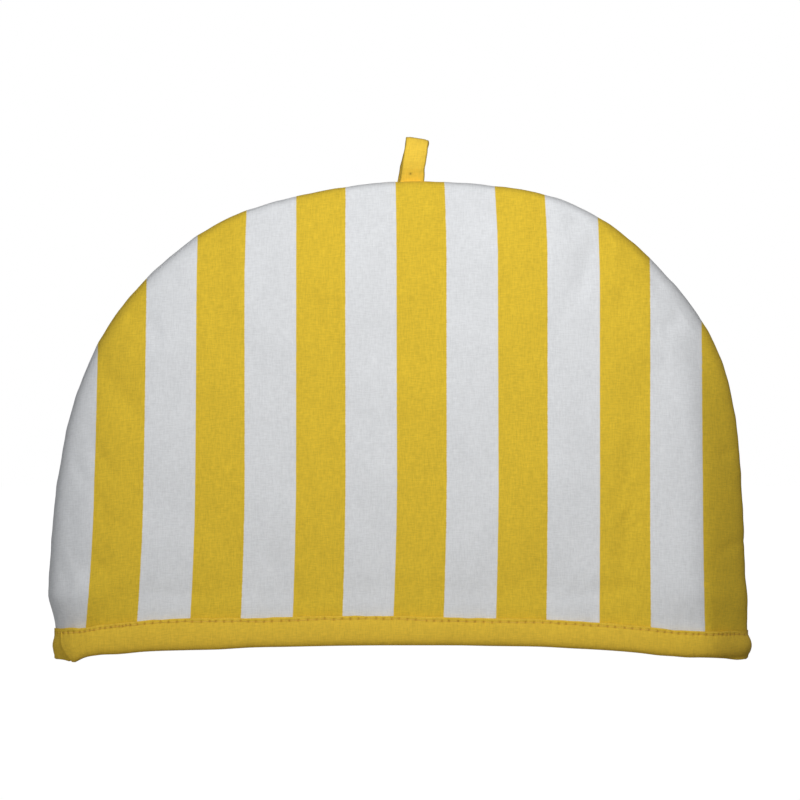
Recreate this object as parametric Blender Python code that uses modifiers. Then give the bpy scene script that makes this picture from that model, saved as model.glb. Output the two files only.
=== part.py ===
"""Padded half-moon tea cosy, standing open on its hem.

Metres, +Z up, front towards -Y. The origin is under the middle of the hem, on the surface that the
cosy stands on. Two padded panels meet in a seam that runs up one side, over the crown and down the
other. A folded strip binds the hem, and a folded loop stands on the crown.
"""

import math
from collections import namedtuple

import bmesh
import bpy
import numpy as np

# ---- the seam line, seen from the front ----
# Its reach from the middle of the hem, by the angle above +X: the right hem corner is at 0 degrees
# and the left one at 180. The crown leans a little to the right.
SeamPoint = namedtuple("SeamPoint", "angle reach")
SEAM_LINE = (
    SeamPoint(0, 0.1738),
    SeamPoint(15, 0.1762),
    SeamPoint(30, 0.1942),
    SeamPoint(45, 0.2190),
    SeamPoint(60, 0.2350),
    SeamPoint(75, 0.2388),
    SeamPoint(90, 0.2360),
    SeamPoint(105, 0.2340),
    SeamPoint(120, 0.2284),
    SeamPoint(135, 0.2132),
    SeamPoint(150, 0.1930),
    SeamPoint(165, 0.1785),
    SeamPoint(180, 0.1745),
)
CROWN_HEIGHT = 0.236
HALF_WIDTH = 0.173

# ---- the padded panels ----
WALL = 0.008                # cloth and wadding together
WALL_IN_SEAM = 0.0065       # pressed thinner where the panels are sewn together at the crown
WALL_IN_BINDING = 0.0045    # and thinner again inside the binding
HEM_FULLNESS = 0.0270       # how far a panel swells from the seam plane, at the hem
CROWN_FULLNESS = 0.0110     # and at the crown
FULLNESS_FALL = 1.6         # how late the swell dies away towards the crown
FACE_BOW = 0.06             # share of the swell that is lost at the sides
HEM_ROLL = 0.0205           # radius of the padded edge beside the seam, at the hem
CROWN_ROLL = 0.009          # and at the crown
SEAM_TUCK = math.radians(16)        # how far the padded edge curls back into the seam
ROLL_END = math.radians(70)         # where the padded edge runs out into the face
SEAM_GAP = 0.0003
HEM_PINCH_LEFT = 0.0042     # how far the stitching draws the panel in above the binding
HEM_PINCH_RIGHT = 0.0026
PINCH_TOP = 0.034           # height over the hem at which the pinch ends
PANEL_BOTTOM = 0.0026       # raw edge of the panel, over the underside of the binding
SKIRT_TOP = 0.036           # below it the mesh runs in level rows

# ---- the underside of the hem: it stands on both ends and arches between them ----
HemPoint = namedtuple("HemPoint", "x front back")
# Place across the hem, and how high its underside is there on the front and on the back
HEM_RISE = (
    HemPoint(-0.163, 0.0000, 0.0000),
    HemPoint(-0.156, 0.0009, 0.0007),
    HemPoint(-0.148, 0.0026, 0.0018),
    HemPoint(-0.138, 0.0040, 0.0030),
    HemPoint(-0.123, 0.0054, 0.0041),
    HemPoint(-0.100, 0.0064, 0.0049),
    HemPoint(-0.075, 0.0074, 0.0055),
    HemPoint(-0.045, 0.0081, 0.0059),
    HemPoint(-0.010, 0.0084, 0.0060),
    HemPoint(0.025, 0.0084, 0.0060),
    HemPoint(0.055, 0.0080, 0.0058),
    HemPoint(0.080, 0.0072, 0.0053),
    HemPoint(0.100, 0.0062, 0.0047),
    HemPoint(0.118, 0.0048, 0.0038),
    HemPoint(0.134, 0.0032, 0.0027),
    HemPoint(0.150, 0.0018, 0.0016),
    HemPoint(0.160, 0.0006, 0.0005),
    HemPoint(0.167, 0.0000, 0.0000),
)

# ---- the binding strip ----
CLOTH = 0.0014              # one folded layer of the strip
LAP_GAP = 0.0004            # between the lapped end and the start under it
LAP_START_X = -0.153        # the start of the strip, on the front
LAP_END_X = -0.1655         # the folded end that covers it, at the top of the strip
LAP_SLANT = 0.0065          # the folded end runs this much further right at the bottom
LAP_CLIMB = 0.014           # length over which the strip climbs onto its own start
LAP_FOOT_START = -0.163     # the hem is raised for the lap as far as here
LAP_FOOT_END = -0.1695      # and is down again at the seam
BindingPoint = namedtuple("BindingPoint", "side out height")
# Outer skin of the strip's U: out from the panel's outer face (side 0) or inner face (side 1),
# height over the underside of the hem
BINDING_SECTION = (
    BindingPoint(0, 0.00175, 0.0146),
    BindingPoint(0, 0.00185, 0.0122),
    BindingPoint(0, 0.00230, 0.0070),
    BindingPoint(0, 0.00210, 0.0022),
    BindingPoint(0, 0.00140, 0.0005),
    BindingPoint(0, 0.00030, 0.0000),
    BindingPoint(1, 0.00030, 0.0000),
    BindingPoint(1, 0.00140, 0.0005),
    BindingPoint(1, 0.00205, 0.0022),
    BindingPoint(1, 0.00200, 0.0088),
    BindingPoint(1, 0.00180, 0.0138),
)

# ---- the hanging loop ----
LOOP_WIDTH = 0.0122
LOOP_CLOTH = 0.0013
LOOP_BASE_X = 0.0060
LOOP_FOOT = 0.2367          # underside of the loop's legs
LOOP_TOP = 0.2568
LOOP_LEAN = math.radians(8)
LOOP_FOLD_SLOPE = -0.06     # the top fold falls to the right
LoopPoint = namedtuple("LoopPoint", "share out")
# Half of the loop seen from the side: share of its height, and how far a leg stands out from the middle
LOOP_LEG = (
    LoopPoint(0.00, 0.0017),
    LoopPoint(0.10, 0.0024),
    LoopPoint(0.24, 0.0037),
    LoopPoint(0.42, 0.0043),
    LoopPoint(0.62, 0.0042),
    LoopPoint(0.78, 0.0036),
    LoopPoint(0.90, 0.0025),
    LoopPoint(0.975, 0.0012),
    LoopPoint(1.00, 0.0000),
)

# ---- mesh steps ----
SEAM_STEPS = 40             # along the seam
ROLL_STEPS = 9              # round the padded edge
FACE_STEPS = 7              # from the padded edge to the skirt
BINDING_ROW = 0.0150        # the panel stands upright below this row
SKIRT_ROWS = (0.027, 0.020, BINDING_ROW, 0.0088, PANEL_BOTTOM)
CORNER_STEP = 0.0038        # binding stations round the ends
FACE_STEP = 0.012           # and along the faces
END_ZONE = 0.135            # where the ends begin

# ---- colours ----
WHITE_COTTON = (0.80, 0.81, 0.83, 1.0)
YELLOW_COTTON = (0.78, 0.53, 0.05, 1.0)


def start_clean():
    for thing in list(bpy.data.objects):
        bpy.data.objects.remove(thing, do_unlink=True)


def cotton(name, colour):
    material = bpy.data.materials.new(name)
    material.use_nodes = True
    shader = material.node_tree.nodes["Principled BSDF"]
    shader.inputs["Base Color"].default_value = colour
    shader.inputs["Roughness"].default_value = 0.88
    shader.inputs["Metallic"].default_value = 0.0
    return material


def smooth_through(at, places, values):
    """A smooth curve through a table's rows, level at both ends, read at the places asked for."""
    places = np.asarray(places, float)
    values = np.asarray(values, float)
    slopes = np.gradient(values, places)
    slopes[0] = slopes[-1] = 0.0
    row = np.clip(np.searchsorted(places, at) - 1, 0, len(places) - 2)
    step = places[row + 1] - places[row]
    u = (at - places[row]) / step
    return (
        values[row] * (1 + 2 * u) * (1 - u) ** 2
        + slopes[row] * step * u * (1 - u) ** 2
        + values[row + 1] * u ** 2 * (3 - 2 * u)
        + slopes[row + 1] * step * u ** 2 * (u - 1)
    )


def ease(value, start, end):
    """0 before start, 1 after end, and a soft step between them."""
    u = np.clip((value - start) / (end - start), 0.0, 1.0)
    return u * u * (3 - 2 * u)


def seam_curve():
    """The seam line as close points, from the left hem corner over the crown to the right one."""
    angle = np.linspace(180, 0, 721)
    reach = smooth_through(angle, [p.angle for p in SEAM_LINE], [p.reach for p in SEAM_LINE])
    turn = np.radians(angle)
    return np.column_stack([reach * np.cos(turn), reach * np.sin(turn)])


SEAM = seam_curve()


def side_reach(height, right):
    """How far out the seam lies at a low height, on the right or the left; upright in the binding."""
    half = len(SEAM) // 2
    side = SEAM[half:][::-1] if right else SEAM[:half]
    return np.interp(max(height, BINDING_ROW), side[:, 1], np.abs(side[:, 0]))


def fullness(x, z):
    fall = np.clip(z / CROWN_HEIGHT, 0.0, 1.0) ** FULLNESS_FALL
    return (HEM_FULLNESS + (CROWN_FULLNESS - HEM_FULLNESS) * fall) * (1 - FACE_BOW * (x / HALF_WIDTH) ** 2)


def roll_length(x, z):
    """How far in from the seam line the padded edge takes to reach its full depth."""
    radius = HEM_ROLL + (CROWN_ROLL - HEM_ROLL) * np.clip(z / CROWN_HEIGHT, 0.0, 1.0)
    return fullness(x, z) ** 2 / radius


SEAM_ROLL = roll_length(SEAM[:, 0], SEAM[:, 1])


def roll_angle(x, z):
    """The angle of the padded edge at a point of the face: 90 degrees once it is past."""
    away = np.hypot(SEAM[:, 0] - x, SEAM[:, 1] - z)
    nearest = int(np.argmin(away))
    return math.acos(float(np.clip(1 - away[nearest] / SEAM_ROLL[nearest], 0.0, 1.0)))


def level_place(roll, z, right):
    """Where a roll angle of the padded edge lies across a low level row."""
    reach = side_reach(z, right)
    place = reach - roll_length(reach, z) * (1 - math.cos(roll))
    return float(place if right else -place)


def level_roll(x, z):
    """The roll angle at a place across a low level row: 90 degrees once it is past the edge."""
    reach = side_reach(z, x > 0)
    return math.acos(float(np.clip(1 - (reach - abs(x)) / roll_length(reach, z), 0.0, 1.0)))


def hem_pinch(x, z):
    draw = HEM_PINCH_LEFT + (HEM_PINCH_RIGHT - HEM_PINCH_LEFT) * (x / HALF_WIDTH + 1) / 2
    return draw * (1 - ease(z, BINDING_ROW, PINCH_TOP))


def lap_rise(x, z, side):
    """The start of the strip is lifted by the thickness of the end that laps under and over it."""
    over = ease(x, LAP_START_X + LAP_CLIMB, LAP_START_X) * ease(x, LAP_FOOT_END, LAP_FOOT_START)
    return (CLOTH + LAP_GAP) * over * (side < 0) * (1 - ease(z, 0.0, SKIRT_TOP))


def underside(x, z, side):
    """How far the arch of the hem lifts a point."""
    rise = [p.front if side < 0 else p.back for p in HEM_RISE]
    across = [p.x for p in HEM_RISE]
    arch = smooth_through(np.clip(x, across[0], across[-1]), across, rise)
    return arch * (1 - np.clip(z / CROWN_HEIGHT, 0.0, 1.0)) ** 2 + lap_rise(x, z, side)


def wall(z):
    pressed_hem = 1 - ease(z, BINDING_ROW, 0.026)
    pressed_crown = ease(z, 0.6 * CROWN_HEIGHT, CROWN_HEIGHT)
    return (
        WALL
        + (WALL_IN_BINDING - WALL) * pressed_hem
        + (WALL_IN_SEAM - WALL) * pressed_crown
    )


def outer_point(x, z, roll, side):
    """A point of a panel's outer face; side is -1 on the front and 1 on the back."""
    depth = fullness(x, z) * (math.sin(SEAM_TUCK) + math.sin(roll))
    pinch = hem_pinch(x, z)
    x = x - math.copysign(pinch * math.cos(roll), x)
    depth = max(depth - pinch * math.sin(max(roll, 0.0)), SEAM_GAP / 2)
    return (x, side * depth, z + float(underside(x, z, side)))


def edge_rolls():
    return np.linspace(-SEAM_TUCK, ROLL_END, ROLL_STEPS + 1)


def dome_layout():
    """The rows and columns of a panel above its skirt: place in the seam plane, and roll angle."""
    upper = SEAM[(SEAM[:, 1] >= SKIRT_TOP)]
    along = np.concatenate([[0.0], np.cumsum(np.hypot(*np.diff(upper, axis=0).T))])
    stops = np.linspace(0.0, along[-1], SEAM_STEPS + 1)
    rim = np.column_stack([np.interp(stops, along, upper[:, axis]) for axis in (0, 1)])
    ahead = np.gradient(rim, axis=0)
    inward = np.column_stack([ahead[:, 1], -ahead[:, 0]])
    inward /= np.linalg.norm(inward, axis=1)[:, None]
    rows = []
    for roll in edge_rolls():
        length = roll_length(rim[:, 0], rim[:, 1])
        places = rim + inward * (length * (1 - math.cos(roll)))[:, None]
        rows.append([(x, z, roll) for x, z in places])
    edge = np.array([place[:2] for place in rows[-1]])
    foot_x = np.linspace(-0.66, 0.66, SEAM_STEPS + 1) * HALF_WIDTH
    foot_z = np.interp(foot_x, [edge[0, 0], edge[-1, 0]], [edge[0, 1], edge[-1, 1]])
    for step in range(1, FACE_STEPS + 1):
        share = step / FACE_STEPS
        xs = edge[:, 0] + (foot_x - edge[:, 0]) * share
        zs = edge[:, 1] + (foot_z - edge[:, 1]) * share
        rows.append([(x, z, roll_angle(x, z)) for x, z in zip(xs, zs)])
    return rows


def extrude_rim(bm, rim):
    """One more row of faces below a chain of vertices; gives back the new chain."""
    edges = [bm.edges.get(pair) for pair in zip(rim, rim[1:])]
    made = set(bmesh.ops.extrude_edge_only(bm, edges=edges)["geom"])
    return [next(e.other_vert(v) for e in v.link_edges if e.other_vert(v) in made) for v in rim]


def panel_skin(bm, side):
    """The outer skin of a panel; gives back each vertex's place in the seam plane and roll angle."""
    rows = dome_layout()
    row_steps = len(rows) - 1
    grid = bmesh.ops.create_grid(bm, x_segments=SEAM_STEPS, y_segments=row_steps, size=1.0)["verts"]
    place = {}
    corner = {}
    for vert in grid:
        column = round((vert.co.x + 1) / 2 * SEAM_STEPS)
        row = round((vert.co.y + 1) / 2 * row_steps)
        corner[column, row] = vert
        place[vert] = rows[row][column]
    rim = [corner[0, row] for row in range(row_steps)]
    rim += [corner[column, row_steps] for column in range(SEAM_STEPS + 1)]
    rim += [corner[SEAM_STEPS, row] for row in reversed(range(row_steps))]
    top = [place[vert] for vert in rim]
    last_roll = edge_rolls()[-1]
    for height in SKIRT_ROWS:
        rim = extrude_rim(bm, rim)
        for vert, (x, z, roll) in zip(rim, top):
            low = z * height / SKIRT_TOP
            if roll <= last_roll:
                place[vert] = (level_place(roll, low, x > 0), low, roll)
            else:
                spread = side_reach(low, x > 0) / side_reach(z, x > 0)
                place[vert] = (x * spread, low, level_roll(x * spread, low))
    for vert, (x, z, roll) in place.items():
        vert.co = outer_point(x, z, roll, side)
    return place


def padded_panel(name, side, material, collection):
    """One padded panel: its outer skin, its inner skin a wall's thickness in, and the rim between."""
    bm = bmesh.new()
    place = panel_skin(bm, side)
    bmesh.ops.recalc_face_normals(bm, faces=bm.faces)
    middle = max(bm.faces, key=lambda face: face.calc_area())
    if middle.normal.y * side < 0:
        bmesh.ops.reverse_faces(bm, faces=bm.faces)
    bm.normal_update()
    rim_edges = [edge for edge in bm.edges if edge.is_boundary]
    outward = {vert: vert.normal.copy() for vert in bm.verts}
    copied = bmesh.ops.duplicate(bm, geom=bm.verts[:] + bm.edges[:] + bm.faces[:])
    inner_of = copied["vert_map"]
    inner_faces = [item for item in copied["geom"] if isinstance(item, bmesh.types.BMFace)]
    bmesh.ops.reverse_faces(bm, faces=inner_faces)
    for vert, (x, z, roll) in place.items():
        thick = float(wall(z))
        inner = inner_of[vert]
        if roll <= 0:
            # beside the seam the inner face runs straight across to the other panel
            level = outward[vert].copy()
            level.y = 0.0
            tucked = float(roll_length(x, z)) * (1 - math.cos(roll))
            inner.co = vert.co - level.normalized() * (thick - tucked)
        else:
            inner.co = vert.co - outward[vert] * thick
    for edge in rim_edges:
        a, b = edge.verts
        bm.faces.new((a, b, inner_of[b], inner_of[a]))
    bmesh.ops.recalc_face_normals(bm, faces=bm.faces)
    return finish_mesh(name, bm, material, collection)


def finish_mesh(name, bm, material, collection):
    mesh = bpy.data.meshes.new(name)
    bm.to_mesh(mesh)
    bm.free()
    mesh.materials.append(material)
    mesh.shade_smooth()
    mesh.set_sharp_from_angle(angle=math.radians(50))
    thing = bpy.data.objects.new(name, mesh)
    collection.objects.link(thing)
    return thing


def hem_curve(side, turned):
    """Half of the hem in plan, on the panel's outer face, from the left end to the right one."""
    rolls = np.radians(np.linspace(0, 90, 61))
    left = [(level_place(roll, 0.0, False), roll) for roll in rolls]
    right = [(level_place(roll, 0.0, True), roll) for roll in rolls[::-1]]
    face = [(x, math.pi / 2) for x in np.linspace(left[-1][0], right[0][0], 60)[1:-1]]
    curve = np.array([outer_point(x, 0.0, roll, side)[:2] for x, roll in left + face + right])
    return curve[::-1] if turned else curve


def hem_path():
    """The hem in plan as one closed path, on the panels' outer faces.

    It starts on the front at the start of the strip and runs left, along the back from left to
    right, and home along the front. It gives the points, how far along they lie, and the outward
    directions.
    """
    front = hem_curve(-1, turned=True)
    back = hem_curve(1, turned=False)
    start = int(np.argmax(front[:, 0] < LAP_START_X))
    ring = np.vstack([front[start:], back, front[:start]])
    again = ring[: len(front) - start]
    path = np.vstack([ring, again])
    along = np.concatenate([[0.0], np.cumsum(np.hypot(*np.diff(path, axis=0).T))])
    ahead = np.gradient(path, along, axis=0)
    outward = np.column_stack([ahead[:, 1], -ahead[:, 0]])
    if np.dot(outward[0], path[0]) < 0:
        outward = -outward
    outward /= np.linalg.norm(outward, axis=1)[:, None]
    return path, along, outward, along[len(ring)]


def hem_binding(material, collection):
    path, along, outward, once_round = hem_path()
    lapped = along >= once_round
    lap = np.interp(-LAP_END_X, -path[lapped, 0], along[lapped])
    stops = [0.0]
    while stops[-1] < lap - CORNER_STEP:
        x = np.interp(stops[-1], along, path[:, 0])
        stops.append(stops[-1] + (CORNER_STEP if abs(x) > END_ZONE else FACE_STEP))
    stops[-1] = lap
    stops = np.array(stops)
    section_steps = len(BINDING_SECTION) - 1
    bm = bmesh.new()
    grid = bmesh.ops.create_grid(
        bm, x_segments=len(stops) - 1, y_segments=section_steps, size=1.0
    )["verts"]
    for vert in grid:
        station = round((vert.co.x + 1) / 2 * (len(stops) - 1))
        point = BINDING_SECTION[round((vert.co.y + 1) / 2 * section_steps)]
        stop = stops[station]
        low = 1 - point.height / BINDING_SECTION[0].height
        slant = LAP_SLANT * low if point.side == 0 else LAP_SLANT
        stop -= slant * ease(stop, lap - 3 * LAP_SLANT, lap)
        x, y = (np.interp(stop, along, path[:, axis]) for axis in (0, 1))
        out_x, out_y = (np.interp(stop, along, outward[:, axis]) for axis in (0, 1))
        layer = (CLOTH + LAP_GAP) * ease(stop, once_round - LAP_CLIMB, once_round - 0.002)
        out = point.out + layer if point.side == 0 else -WALL_IN_BINDING - point.out - layer
        side = -1 if y < 0 else 1
        base = float(underside(x, 0.0, side))
        vert.co = (x + out_x * out, y + out_y * out, base + point.height - layer * low)
    bmesh.ops.recalc_face_normals(bm, faces=bm.faces)
    outer = max(bm.faces, key=lambda face: face.calc_center_median().x)
    if outer.normal.x < 0:
        bmesh.ops.reverse_faces(bm, faces=bm.faces)
    binding = finish_mesh("hem_binding", bm, material, collection)
    thicken(binding, CLOTH)
    return binding


def thicken(thing, thickness):
    """Cloth of this thickness, inward from the surface."""
    cloth = thing.modifiers.new("cloth", "SOLIDIFY")
    cloth.thickness = thickness
    cloth.offset = -1.0
    cloth.use_even_offset = True
    cloth.use_quality_normals = True


def hanging_loop(material, collection):
    front = [(-point.out, point.share) for point in LOOP_LEG]
    path = front + [(-y, share) for y, share in front[-2::-1]]
    across_steps = 3
    bm = bmesh.new()
    grid = bmesh.ops.create_grid(
        bm, x_segments=across_steps, y_segments=len(path) - 1, size=1.0
    )["verts"]
    for vert in grid:
        across = vert.co.x
        y, share = path[round((vert.co.y + 1) / 2 * (len(path) - 1))]
        height = share * (LOOP_TOP - LOOP_FOOT)
        x = LOOP_BASE_X + across * LOOP_WIDTH / 2 + height * math.tan(LOOP_LEAN)
        fall = LOOP_FOLD_SLOPE * across * LOOP_WIDTH / 2 * share
        vert.co = (x, y, LOOP_FOOT + height + fall)
    bmesh.ops.recalc_face_normals(bm, faces=bm.faces)
    top = max(bm.faces, key=lambda face: face.calc_center_median().z)
    if top.normal.z < 0:
        bmesh.ops.reverse_faces(bm, faces=bm.faces)
    loop = finish_mesh("hanging_loop", bm, material, collection)
    thicken(loop, LOOP_CLOTH)
    return loop


start_clean()
cosy = bpy.data.collections.new("tea_cosy")
bpy.context.scene.collection.children.link(cosy)
striped = cotton("striped_cotton", WHITE_COTTON)
plain = cotton("yellow_cotton", YELLOW_COTTON)
padded_panel("panel_front", -1, striped, cosy)
padded_panel("panel_back", 1, striped, cosy)
hem_binding(plain, cosy)
hanging_loop(plain, cosy)
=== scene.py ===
"""A padded half-moon tea cosy of striped cotton, standing on its hem.

Metres, +Z up, front towards -Y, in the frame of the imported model.
"""

import math
from collections import namedtuple

import bmesh
import bpy
import numpy as np
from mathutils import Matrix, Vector


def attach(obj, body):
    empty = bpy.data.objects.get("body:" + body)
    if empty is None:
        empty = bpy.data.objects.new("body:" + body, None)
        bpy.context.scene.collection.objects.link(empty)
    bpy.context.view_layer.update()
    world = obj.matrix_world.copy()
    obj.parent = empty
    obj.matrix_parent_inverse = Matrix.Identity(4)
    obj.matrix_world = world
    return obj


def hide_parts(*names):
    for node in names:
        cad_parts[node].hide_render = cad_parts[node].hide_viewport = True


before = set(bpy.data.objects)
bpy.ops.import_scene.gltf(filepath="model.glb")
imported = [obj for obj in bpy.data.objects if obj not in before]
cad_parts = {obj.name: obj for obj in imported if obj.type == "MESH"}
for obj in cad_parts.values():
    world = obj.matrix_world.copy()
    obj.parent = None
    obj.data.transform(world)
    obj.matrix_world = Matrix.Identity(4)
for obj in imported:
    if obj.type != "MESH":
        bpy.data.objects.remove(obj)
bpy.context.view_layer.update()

# ---- the studio ----
# A white floor and a white surround, soft light from the front and from behind, and a long lens
# that is level with the middle of the cosy.
CAMERA_DISTANCE = 3.0
CAMERA_HEIGHT = 0.1279
FRAME_WIDTH = 0.3936            # what the picture takes in at the seam plane
SENSOR_WIDTH = 36.0             # mm
FLOOR_SIZE = 12.0
FLOOR_GREY = (0.42, 0.42, 0.42, 1.0)
FLOOR_GLOW = 1.07
FLOOR_SHADOW = 0.06             # share of the floor's own light and shade that shows
SURROUND_LIGHT = 0.015
WHITE = (1.0, 1.0, 1.0, 1.0)
AIM = Vector((0.0, 0.0, 0.12))
SoftLight = namedtuple("SoftLight", "name place wide high watts colour")
SOFT_LIGHTS = (
    SoftLight("front_softbox", (0.035, -0.50, 0.45), 0.28, 0.28, 1.95, (1.0, 0.995, 0.99)),
    SoftLight("right_softbox", (0.30, -0.58, 0.56), 0.30, 0.30, 0.95, (1.0, 0.995, 0.99)),
    SoftLight("left_softbox", (-1.75, -1.35, 0.50), 0.70, 0.70, 10.4, (0.97, 0.985, 1.0)),
    SoftLight("rear_softbox", (0.30, 2.40, 0.60), 1.20, 0.90, 5.0, (0.98, 0.99, 1.0)),
    SoftLight("back_softbox", (-0.25, 2.60, 0.20), 1.00, 1.00, 26.0, (1.0, 1.0, 1.0)),
)


def join(tree, *pairs):
    """Wire each output to its input."""
    for source, socket in pairs:
        tree.links.new(source, socket)


def picture_camera():
    lens = bpy.data.cameras.new("camera")
    lens.sensor_width = SENSOR_WIDTH
    lens.lens = SENSOR_WIDTH * CAMERA_DISTANCE / FRAME_WIDTH
    camera = bpy.data.objects.new("camera", lens)
    camera.location = (0.0, -CAMERA_DISTANCE, CAMERA_HEIGHT)
    camera.rotation_euler = (math.radians(90), 0.0, 0.0)
    bpy.context.scene.collection.objects.link(camera)
    bpy.context.scene.camera = camera


def seen_or_lit(tree, lit, seen, output, share):
    """Show the camera this share of one shader; the other is what every other ray meets."""
    ray = tree.nodes.new("ShaderNodeLightPath")
    part = tree.nodes.new("ShaderNodeMath")
    part.operation = "MULTIPLY"
    part.inputs[1].default_value = share
    mix = tree.nodes.new("ShaderNodeMixShader")
    out = tree.nodes.new(output)
    join(
        tree,
        (ray.outputs["Is Camera Ray"], part.inputs[0]),
        (part.outputs[0], mix.inputs[0]),
        (lit.outputs[0], mix.inputs[1]),
        (seen.outputs[0], mix.inputs[2]),
        (mix.outputs[0], out.inputs["Surface"]),
    )


def white_surround():
    """White where the camera sees it, and dim where it lights the cosy."""
    world = bpy.data.worlds.new("surround")
    bpy.context.scene.world = world
    world.use_nodes = True
    tree = world.node_tree
    tree.nodes.clear()
    seen, lit = (tree.nodes.new("ShaderNodeBackground") for _ in range(2))
    for background, strength in ((seen, 1.0), (lit, SURROUND_LIGHT)):
        background.inputs["Color"].default_value = WHITE
        background.inputs["Strength"].default_value = strength
    seen_or_lit(tree, lit, seen, "ShaderNodeOutputWorld", 1.0)


def white_floor():
    """A pale floor that burns out to white, with the faintest shade where the hem meets it."""
    bpy.ops.mesh.primitive_plane_add(size=FLOOR_SIZE, location=(0.0, 0.0, 0.0))
    floor = bpy.context.object
    floor.name = "floor"
    paint = bpy.data.materials.new("floor_white")
    paint.use_nodes = True
    tree = paint.node_tree
    tree.nodes.clear()
    own = tree.nodes.new("ShaderNodeBsdfDiffuse")
    own.inputs["Color"].default_value = FLOOR_GREY
    glow = tree.nodes.new("ShaderNodeEmission")
    glow.inputs["Color"].default_value = WHITE
    glow.inputs["Strength"].default_value = FLOOR_GLOW
    seen_or_lit(tree, own, glow, "ShaderNodeOutputMaterial", 1.0 - FLOOR_SHADOW)
    paint.cycles.emission_sampling = "NONE"
    floor.data.materials.append(paint)


def soft_light(light):
    lamp = bpy.data.lights.new(light.name, "AREA")
    lamp.shape = "RECTANGLE"
    lamp.size = light.wide
    lamp.size_y = light.high
    lamp.energy = light.watts
    lamp.color = light.colour
    stand = bpy.data.objects.new(light.name, lamp)
    stand.location = light.place
    stand.rotation_euler = (AIM - Vector(light.place)).to_track_quat("-Z", "Y").to_euler()
    stand.visible_camera = False
    bpy.context.scene.collection.objects.link(stand)


picture_camera()
white_surround()
white_floor()
for light in SOFT_LIGHTS:
    soft_light(light)
bpy.context.scene.view_settings.view_transform = "Standard"


# ---- the cotton cloth ----
# Every piece is cut from a plain-weave cotton of about 20 threads a centimetre. The threads are
# uneven, so the cloth shows short pale and dark streaks both ways.
THREAD_PITCH = 0.00052
THREAD_RELIEF = 0.00010
WOVEN_HEIGHT = 0.3              # share of the relief that is the over-and-under of the threads
UNEVEN_HEIGHT = 0.8             # and that is how thick they are
WARP_STREAK = (0.0038, 0.00062) # length and width of the streaks
WEFT_STREAK = (0.0036, 0.00062)
BLOTCH = (0.016, 0.022)
STREAK_DEPTH = 0.48             # how far the streaks lighten and darken the colour
BLOTCH_DEPTH = 0.10


def new_group(name, inputs, outputs):
    """A shader node group with its named sockets: the group, what it is given and its results."""
    group = bpy.data.node_groups.new(name, "ShaderNodeTree")
    for way, sockets in (("INPUT", inputs), ("OUTPUT", outputs)):
        for socket, kind in sockets.items():
            group.interface.new_socket(socket, in_out=way, socket_type="NodeSocket" + kind)
    given = group.nodes.new("NodeGroupInput").outputs
    return group, given, group.nodes.new("NodeGroupOutput").inputs


def value_node(tree, operation, *sources):
    """A math node; each source is a number or another node's output."""
    node = tree.nodes.new("ShaderNodeMath")
    node.operation = operation
    for socket, source in zip(node.inputs, sources):
        if isinstance(source, (int, float)):
            socket.default_value = source
        else:
            tree.links.new(source, socket)
    return node.outputs[0]


def thread_streaks(tree, along, across, size, seed):
    """Noise drawn out along the threads."""
    place = tree.nodes.new("ShaderNodeCombineXYZ")
    place.inputs[2].default_value = seed
    noise = tree.nodes.new("ShaderNodeTexNoise")
    noise.inputs["Scale"].default_value = 1.0
    noise.inputs["Detail"].default_value = 2.0
    noise.inputs["Roughness"].default_value = 0.55
    join(
        tree,
        (value_node(tree, "DIVIDE", along, size[0]), place.inputs[0]),
        (value_node(tree, "DIVIDE", across, size[1]), place.inputs[1]),
        (place.outputs[0], noise.inputs["Vector"]),
    )
    return noise.outputs["Fac"]


def plain_weave_group():
    """Over-and-under threads: their relief, and how uneven they are."""
    group, given, result = new_group(
        "plain_weave",
        {"Cloth Place": "Vector", "Thread Pitch": "Float"},
        {"Relief": "Float", "Streaks": "Float", "Blotches": "Float"},
    )
    split = group.nodes.new("ShaderNodeSeparateXYZ")
    group.links.new(given["Cloth Place"], split.inputs[0])
    across, up = split.outputs[0], split.outputs[1]
    half_turn = value_node(group, "DIVIDE", math.pi, given["Thread Pitch"])
    wave_across, wave_up = (
        value_node(group, "SINE", value_node(group, "MULTIPLY", way, half_turn))
        for way in (across, up)
    )
    crossing = value_node(group, "MULTIPLY", wave_across, wave_up)
    warp = value_node(group, "ADD", value_node(group, "ABSOLUTE", wave_across), crossing)
    weft = value_node(group, "SUBTRACT", value_node(group, "ABSOLUTE", wave_up), crossing)
    woven = value_node(group, "MULTIPLY", value_node(group, "MAXIMUM", warp, weft), WOVEN_HEIGHT)
    warp_streaks = thread_streaks(group, up, across, WARP_STREAK, seed=1.3)
    weft_streaks = thread_streaks(group, across, up, WEFT_STREAK, seed=7.9)
    both = value_node(group, "ADD", warp_streaks, weft_streaks)
    streaks = value_node(group, "MULTIPLY", both, 0.5)
    join(
        group,
        (value_node(group, "MULTIPLY_ADD", streaks, UNEVEN_HEIGHT, woven), result["Relief"]),
        (streaks, result["Streaks"]),
        (thread_streaks(group, across, up, BLOTCH, seed=4.1), result["Blotches"]),
    )
    return group


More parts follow.
